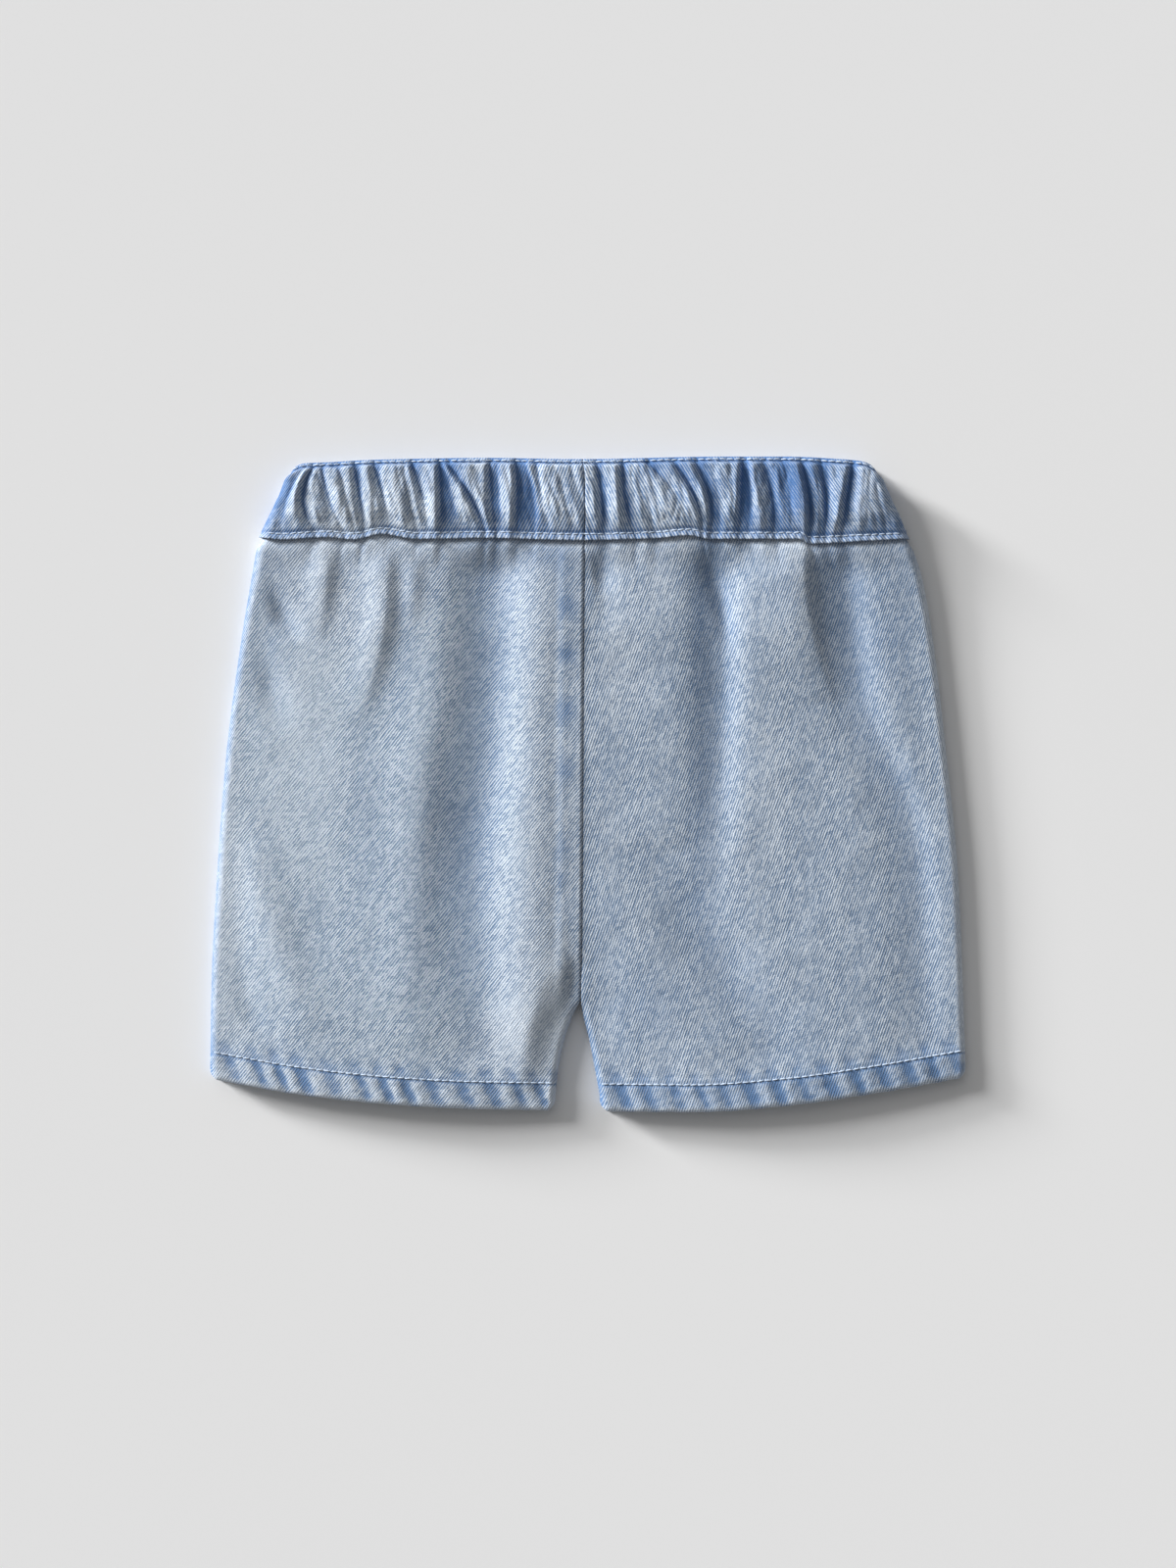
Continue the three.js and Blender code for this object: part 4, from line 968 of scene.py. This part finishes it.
def stitch_tree():
    """Stitches along a curve: a row of short rods, each a little out of line."""
    tree = bpy.data.node_groups.new("stitch_row", "GeometryNodeTree")
    tree.is_modifier = True
    kinds = {"Geometry": "Geometry", "Thread": "Material"}
    for label in ("Geometry", "Pitch", "Length", "Radius", "Wander", "Thread"):
        kind = "NodeSocket" + kinds.get(label, "Float")
        tree.interface.new_socket(label, in_out="INPUT", socket_type=kind)
    tree.interface.new_socket("Geometry", in_out="OUTPUT", socket_type="NodeSocketGeometry")

    def add(kind, settings=None, inputs=None, output=0):
        """Adds a node and returns one of its outputs. An input is a value or another node's output."""
        made = tree.nodes.new(kind)
        for key, value in (settings or {}).items():
            setattr(made, key, value)
        for key, value in (inputs or {}).items():
            if isinstance(value, bpy.types.NodeSocket):
                tree.links.new(value, made.inputs[key])
            else:
                made.inputs[key].default_value = value
        return made.outputs[output] if made.outputs else made

    given = tree.nodes.new("NodeGroupInput").outputs
    along = tree.nodes.new("GeometryNodeCurveToPoints")
    along.mode = "LENGTH"
    tree.links.new(given["Geometry"], along.inputs["Curve"])
    tree.links.new(given["Pitch"], along.inputs["Length"])

    rod = add("GeometryNodeMeshUVSphere", {}, {"Segments": 8, "Rings": 6, "Radius": 1.0}, "Mesh")
    half_length = add("ShaderNodeMath", {"operation": "MULTIPLY"}, {0: given["Length"], 1: 0.5})
    sides = {"X": half_length, "Y": given["Radius"], "Z": given["Radius"]}
    size = add("ShaderNodeCombineXYZ", {}, sides)
    stitch = add("GeometryNodeTransform", {}, {"Geometry": rod, "Scale": size})

    lengthwise = add("FunctionNodeAlignRotationToVector", {"axis": "X"}, {"Vector": along.outputs["Tangent"]})
    limits = {"Min": (0, -1, -1), "Max": (0, 1, 1), "Seed": 7}
    wander = add("FunctionNodeRandomValue", {"data_type": "FLOAT_VECTOR"}, limits)
    wander = add("ShaderNodeVectorMath", {"operation": "SCALE"}, {0: wander, "Scale": given["Wander"]})
    wander = add("FunctionNodeEulerToRotation", {}, {0: wander})
    turned = add("FunctionNodeRotateRotation", {}, {0: lengthwise, 1: wander})

    placing = {"Points": along.outputs["Points"], "Instance": stitch, "Rotation": turned}
    placed = add("GeometryNodeInstanceOnPoints", {}, placing)
    real = add("GeometryNodeRealizeInstances", {}, {0: placed})
    sewn = add("GeometryNodeSetMaterial", {}, {"Geometry": real, "Material": given["Thread"]})
    add("NodeGroupOutput", {}, {0: sewn})
    return tree


def stitch_row(name, lines, tree, values):
    """Stitches along one or more lines of points in mm."""
    curve_data = bpy.data.curves.new(name + "_line", "CURVE")
    curve_data.dimensions = "3D"
    for line in lines:
        spline = curve_data.splines.new("POLY")
        spline.points.add(len(line) - 1)
        flat = np.concatenate([line * MM, np.ones((len(line), 1))], axis=1)
        spline.points.foreach_set("co", flat.astype(np.float32).ravel())
    guide = add_object(name + "_line", curve_data)
    modifier = guide.modifiers.new("stitches", "NODES")
    modifier.node_group = tree
    for item in tree.interface.items_tree:
        if item.in_out == "INPUT" and item.name in values:
            modifier[item.identifier] = values[item.name]
    bpy.context.view_layer.update()
    depsgraph = bpy.context.evaluated_depsgraph_get()
    mesh = bpy.data.meshes.new_from_object(guide.evaluated_get(depsgraph), depsgraph=depsgraph)
    mesh.name = name
    mesh.shade_smooth()
    bpy.data.objects.remove(guide)
    return add_object(name, mesh)


def hem_line(half, back):
    """The line of the hem's stitches on the outer surface of a leg."""
    share = np.linspace(0.0, 1.0, 400)
    turn = np.zeros_like(share)
    above = np.full_like(share, HEM_STITCH_ABOVE)
    x, y, z, *_ = leg_points(half, back, turn, share, turn, above)
    lift = HEM_ROW_LIFT if back else -FRONT_STITCH_SHOWS
    return np.stack([x, y, z + lift], axis=1)


def band_row(half, v_of, lift):
    """The line of a row of stitches on the back of the waistband."""
    share = np.linspace(0.0, 0.995, 700)
    turn = np.zeros((len(share), 1))
    v = np.array([[v_of]])
    x = band_line(half, turn, share[:, None], v)
    height, _ = back_band_height(half, turn, x, v + 0 * x)
    y = band_y(x, v)
    return np.stack([x, y, BAND_HEIGHT + height + lift], axis=2)[:, 0, :]


def front_band_row(v_of):
    """The line of a row of stitches on the underside of the waistband."""
    share = np.linspace(0.0, 1.0, 1400)
    left = LEFT.band_side(v_of) + BAND_RADIUS
    x = mix(left, RIGHT.band_side(v_of) - BAND_RADIUS, share)
    v = np.full_like(x, v_of)
    room = FRONT_HOLLOW * ease(0, 0.05, share) * ease(1, 0.95, share)
    z = front_hollow(x, v) * room + front_furrow(v) - FRONT_STITCH_SHOWS
    return np.stack([x, band_y(x, v), z], axis=1)


# Materials

class Value:
    """A value in a material's nodes. Sums and products on it add the Math nodes that work them out."""

    def __init__(self, paint, socket):
        self.paint = paint
        self.socket = socket

    def maths(self, operation, *values):
        return self.paint.node("ShaderNodeMath", {"operation": operation}, dict(enumerate(values)))

    def __add__(self, other):
        return self.maths("ADD", self, other)

    def __radd__(self, other):
        return self.maths("ADD", other, self)

    def __sub__(self, other):
        return self.maths("SUBTRACT", self, other)

    def __rsub__(self, other):
        return self.maths("SUBTRACT", other, self)

    def __mul__(self, other):
        return self.maths("MULTIPLY", self, other)

    def __rmul__(self, other):
        return self.maths("MULTIPLY", other, self)

    def __truediv__(self, other):
        return self.maths("DIVIDE", self, other)

    def floor(self):
        return self.maths("FLOOR", self)

    def fraction(self):
        return self.maths("FRACT", self)

    def size(self):
        return self.maths("ABSOLUTE", self)

    def sine(self):
        return self.maths("SINE", self)

    def clamped(self):
        return self.maths("MAXIMUM", self.maths("MINIMUM", self, 1.0), 0.0)


class Paint:
    """A material and its nodes."""

    def __init__(self, name, roughness, sheen=0.0):
        self.material = bpy.data.materials.new(name)
        self.material.use_nodes = True
        self.tree = self.material.node_tree
        self.shader = self.tree.nodes["Principled BSDF"]
        self.shader.inputs["Roughness"].default_value = roughness
        self.shader.inputs["Specular IOR Level"].default_value = 0.25
        self.shader.inputs["Sheen Weight"].default_value = sheen
        self.shader.inputs["Sheen Roughness"].default_value = 0.5

    def node(self, kind, settings=None, inputs=None, output=0):
        made = self.tree.nodes.new(kind)
        for key, value in (settings or {}).items():
            setattr(made, key, value)
        for key, value in (inputs or {}).items():
            if isinstance(value, Value):
                self.tree.links.new(value.socket, made.inputs[key])
            elif value is not None:
                made.inputs[key].default_value = value
        return Value(self, made.outputs[output])

    def attribute(self, name):
        return self.node("ShaderNodeAttribute", {"attribute_name": name}, output="Fac")

    def noise(self, vector, scale, detail=2.0, roughness=0.5):
        inputs = {"Vector": vector, "Scale": scale, "Detail": detail, "Roughness": roughness}
        return self.node("ShaderNodeTexNoise", {"noise_dimensions": "3D"}, inputs)

    def split(self, vector):
        """The x and the y of a place."""
        parts = self.node("ShaderNodeSeparateXYZ", {}, {0: vector}).socket.node.outputs
        return Value(self, parts["X"]), Value(self, parts["Y"])

    def point(self, x, y, z=0.0):
        return self.node("ShaderNodeCombineXYZ", {}, {"X": x, "Y": y, "Z": z})

    def between(self, low, high, share):
        """A colour between two colours."""
        settings = {"data_type": "RGBA", "blend_type": "MIX", "clamp_factor": True}
        return self.node("ShaderNodeMix", settings, {0: share, 6: low, 7: high}, output=2)

    def colour(self, value):
        self.tree.links.new(value.socket, self.shader.inputs["Base Color"])

    def bump(self, height, distance, strength=1.0):
        inputs = {"Height": height, "Distance": distance, "Strength": strength}
        bump = self.node("ShaderNodeBump", {}, inputs)
        self.tree.links.new(bump.socket, self.shader.inputs["Normal"])


def linear(red, green, blue):
    """A colour given as it looks on a screen, from 0 to 255, in the renderer's own scale."""
    def channel(value):
        value /= 255
        return value / 12.92 if value <= 0.04045 else ((value + 0.055) / 1.055) ** 2.4

    return (channel(red), channel(green), channel(blue), 1.0)


def denim(name, rise_degrees, pitch, crispness, pale_rgb, blue_rgb, deep_rgb):
    """Washed twill: pale and blue yarns in slanted lines, slubs down the warp, and places where wear has
    paled it and dye has stayed, along with the painted light and painted shade that its pale and blue marks
    carry.
    """
    paint = Paint(name, 0.92, sheen=0.12)
    cloth = paint.node("ShaderNodeTexCoord", output="UV")
    u, v = [side * (1 / MM) for side in paint.split(cloth)]

    wander = paint.noise(paint.point(u, v), 0.02, 1.0) * 2.5 + paint.noise(paint.point(u, v, 3.0), 0.8) * 0.3
    line_at = (u - v * (1 / math.tan(math.radians(rise_degrees))) + wander) * (1 / pitch)
    line = (line_at.fraction() - 0.5).size() * 2.0
    yarn = paint.node(
        "ShaderNodeTexWhiteNoise", {"noise_dimensions": "2D"},
        {"Vector": paint.point(line_at.floor(), (v * 0.8).floor())},
    )
    streak = paint.noise(paint.point(line_at * 1.3, v * 0.15, 5.0), 1.0, 1.0, 0.5)
    warp = paint.noise(paint.point(u * 1.1, v * 0.09, 9.0), 1.0, 3.0, 0.6)
    speckle = paint.noise(paint.point(u, v, 1.0), 1.9, 1.0, 0.6)
    grain = paint.noise(paint.point(u, v, 2.0), 0.45, 2.0, 0.6)
    cloud = paint.noise(paint.point(u, v, 7.0), 0.03, 3.0, 0.55)
    patch = paint.noise(paint.point(u, v, 13.0), 0.11, 3.0, 0.6)

    wear_and_painted_shading = 0.5 + (line - 0.5) * crispness + (yarn - 0.5) * 0.6 + (streak - 0.5) * 0.8
    wear_and_painted_shading = wear_and_painted_shading + (speckle - 0.5) * 1.1
    wear_and_painted_shading = wear_and_painted_shading + (warp - 0.5) * 0.45 + (grain - 0.5) * 0.2 + (cloud - 0.5) * 0.35 + (patch - 0.5) * 0.3
    # The pale and blue marks carry wear and dye, and also painted light and painted shade.
    blue = paint.attribute("blue")
    pale = paint.attribute("pale")
    wear_and_painted_shading = (wear_and_painted_shading + pale * 0.1 - blue * 0.15).clamped()
    wear_and_painted_shading = wear_and_painted_shading + (1.0 - wear_and_painted_shading * 0.6) * pale * 0.42 - wear_and_painted_shading * blue * 0.22
    body = paint.between(linear(*blue_rgb), linear(*pale_rgb), wear_and_painted_shading.clamped())
    dye_and_painted_shade = blue * (0.8 + (grain - 0.5) * 1.0 + (0.5 - line) * 1.0 + (speckle - 0.5) * 0.6)
    dye_and_painted_shade = dye_and_painted_shade.clamped() * 0.78
    paint.colour(paint.between(body, linear(*deep_rgb), dye_and_painted_shade))
    paint.bump(line * 0.45 + speckle * 0.6 + streak * 0.4 + grain * 0.2, 0.00024, 0.75)
    return paint.material


def thread_material():
    """Pale sewing thread, a little blue from the wash."""
    paint = Paint("pale_thread", 0.75, sheen=0.1)
    place = paint.node("ShaderNodeTexCoord", output="Object")
    fibre = paint.noise(place, 2600.0, 2.0)
    paint.colour(paint.between(linear(168, 186, 208), linear(214, 225, 238), fibre))
    paint.bump(fibre, 0.00005)
    return paint.material


def webbing_material():
    """Woven elastic: ribs along its length, crossed by fine threads."""
    paint = Paint("elastic_webbing", 0.8)
    place = paint.node("ShaderNodeTexCoord", output="Object")
    x, y = paint.split(place)
    ribs = (y * 3600.0).sine() * 0.5 + 0.5
    threads = (x * 1400.0).sine() * 0.5 + 0.5
    shade = (ribs * 0.7 + threads * 0.3).clamped()
    paint.colour(paint.between(linear(196, 196, 192), linear(238, 237, 232), shade))
    paint.bump(ribs + threads * 0.3, 0.0002)
    return paint.material


def floor_material():
    """The plain pale ground, with the faintest unevenness."""
    paint = Paint("pale_ground", 0.95)
    place = paint.node("ShaderNodeTexCoord", output="Object")
    cloud = paint.noise(place, 3.0, 2.0)
    low, high = linear(*[c - 1 for c in GROUND]), linear(*[c + 1 for c in GROUND])
    paint.colour(paint.between(low, high, cloud))
    return paint.material


# The shot

def add_camera():
    """Straight down, with the waist at the top of the picture."""
    data = bpy.data.cameras.new("camera")
    data.lens = LENS
    data.sensor_width = SENSOR
    data.sensor_fit = "VERTICAL"
    data.sensor_height = SENSOR
    data.clip_end = 20
    camera = add_object("camera", data)
    tall = IMAGE_HEIGHT * MM_PER_PIXEL * MM
    camera.location = (0, 0, tall * LENS / SENSOR + FRAMED_HEIGHT)
    bpy.context.scene.camera = camera


def add_sun(name, strength, azimuth, elevation, softness):
    """Light from a direction: azimuth is counted from the garment's right, anticlockwise."""
    data = bpy.data.lights.new(name, "SUN")
    data.energy = strength
    data.angle = math.radians(softness)
    sun = add_object(name, data)
    a = math.radians(azimuth)
    e = math.radians(elevation)
    towards = Vector((math.cos(a) * math.cos(e), math.sin(a) * math.cos(e), math.sin(e)))
    sun.rotation_euler = towards.to_track_quat("Z", "Y").to_euler()


def add_ground():
    mesh = bpy.data.meshes.new("ground")
    corners = [(-1, -1), (1, -1), (1, 1), (-1, 1)]
    mesh.from_pydata([(x * GROUND_REACH, y * GROUND_REACH, 0) for x, y in corners], [], [(0, 1, 2, 3)])
    mesh.materials.append(floor_material())
    add_object("ground", mesh)


def add_light():
    world = bpy.data.worlds.new("soft_room")
    world.use_nodes = True
    background = world.node_tree.nodes["Background"]
    background.inputs["Color"].default_value = (1.0, 1.0, 1.0, 1)
    background.inputs["Strength"].default_value = ROOM_LIGHT
    bpy.context.scene.world = world
    for sun in SUNS:
        add_sun(**sun)
    bpy.context.scene.view_settings.view_transform = "Standard"
    bpy.context.scene.view_settings.look = "None"


# Everything together

leg_denim = denim("leg_denim", 52, 1.24, 1.4, (214, 223, 233), (104, 128, 158), (84, 118, 162))
band_denim = denim("waistband_denim", 65, 1.25, 1.4, (212, 221, 231), (100, 126, 160), (60, 102, 158))

def dress(piece, node, material):
    """Gives a cloth its finish, and puts it in the place of its solid."""
    piece.data.materials.append(material)
    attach(piece, "root")
    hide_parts(node)


for half in (LEFT, RIGHT):
    for back in (True, False):
        leg = leg_cloth(half, back)
        dress(leg, ("back_" if back else "front_") + half.name + "_leg", leg_denim)
    band = back_band_cloth(half)
    dress(band, "waistband_back_" + half.name, band_denim)

front_band = front_band_cloth()
dress(front_band, "waistband_front", band_denim)

webbing = webbing_material()
for material_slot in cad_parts["waist_elastic"].material_slots:
    material_slot.material = webbing

stitches = stitch_tree()
stitch_values = {
    "Pitch": STITCH_PITCH * MM,
    "Length": STITCH_LENGTH * MM,
    "Radius": STITCH_RADIUS * MM,
    "Wander": STITCH_WANDER,
    "Thread": thread_material(),
}
rows = {
    "hem_stitches_back": [hem_line(half, True) for half in (LEFT, RIGHT)],
    "hem_stitches_front": [hem_line(half, False) for half in (LEFT, RIGHT)],
    "waistband_stitches_foot": [band_row(half, STITCH_ROW_SHARE, FOOT_ROW_LIFT) for half in (LEFT, RIGHT)],
    "waistband_stitches_top": [band_row(half, TOP_ROW_SHARE, TOP_ROW_LIFT) for half in (LEFT, RIGHT)],
    "waistband_stitches_front": [front_band_row(STITCH_ROW_SHARE), front_band_row(TOP_ROW_SHARE)],
}
for name, lines in rows.items():
    row = stitch_row(name, lines, stitches, stitch_values)
    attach(row, "root")

add_ground()
add_light()
add_camera()
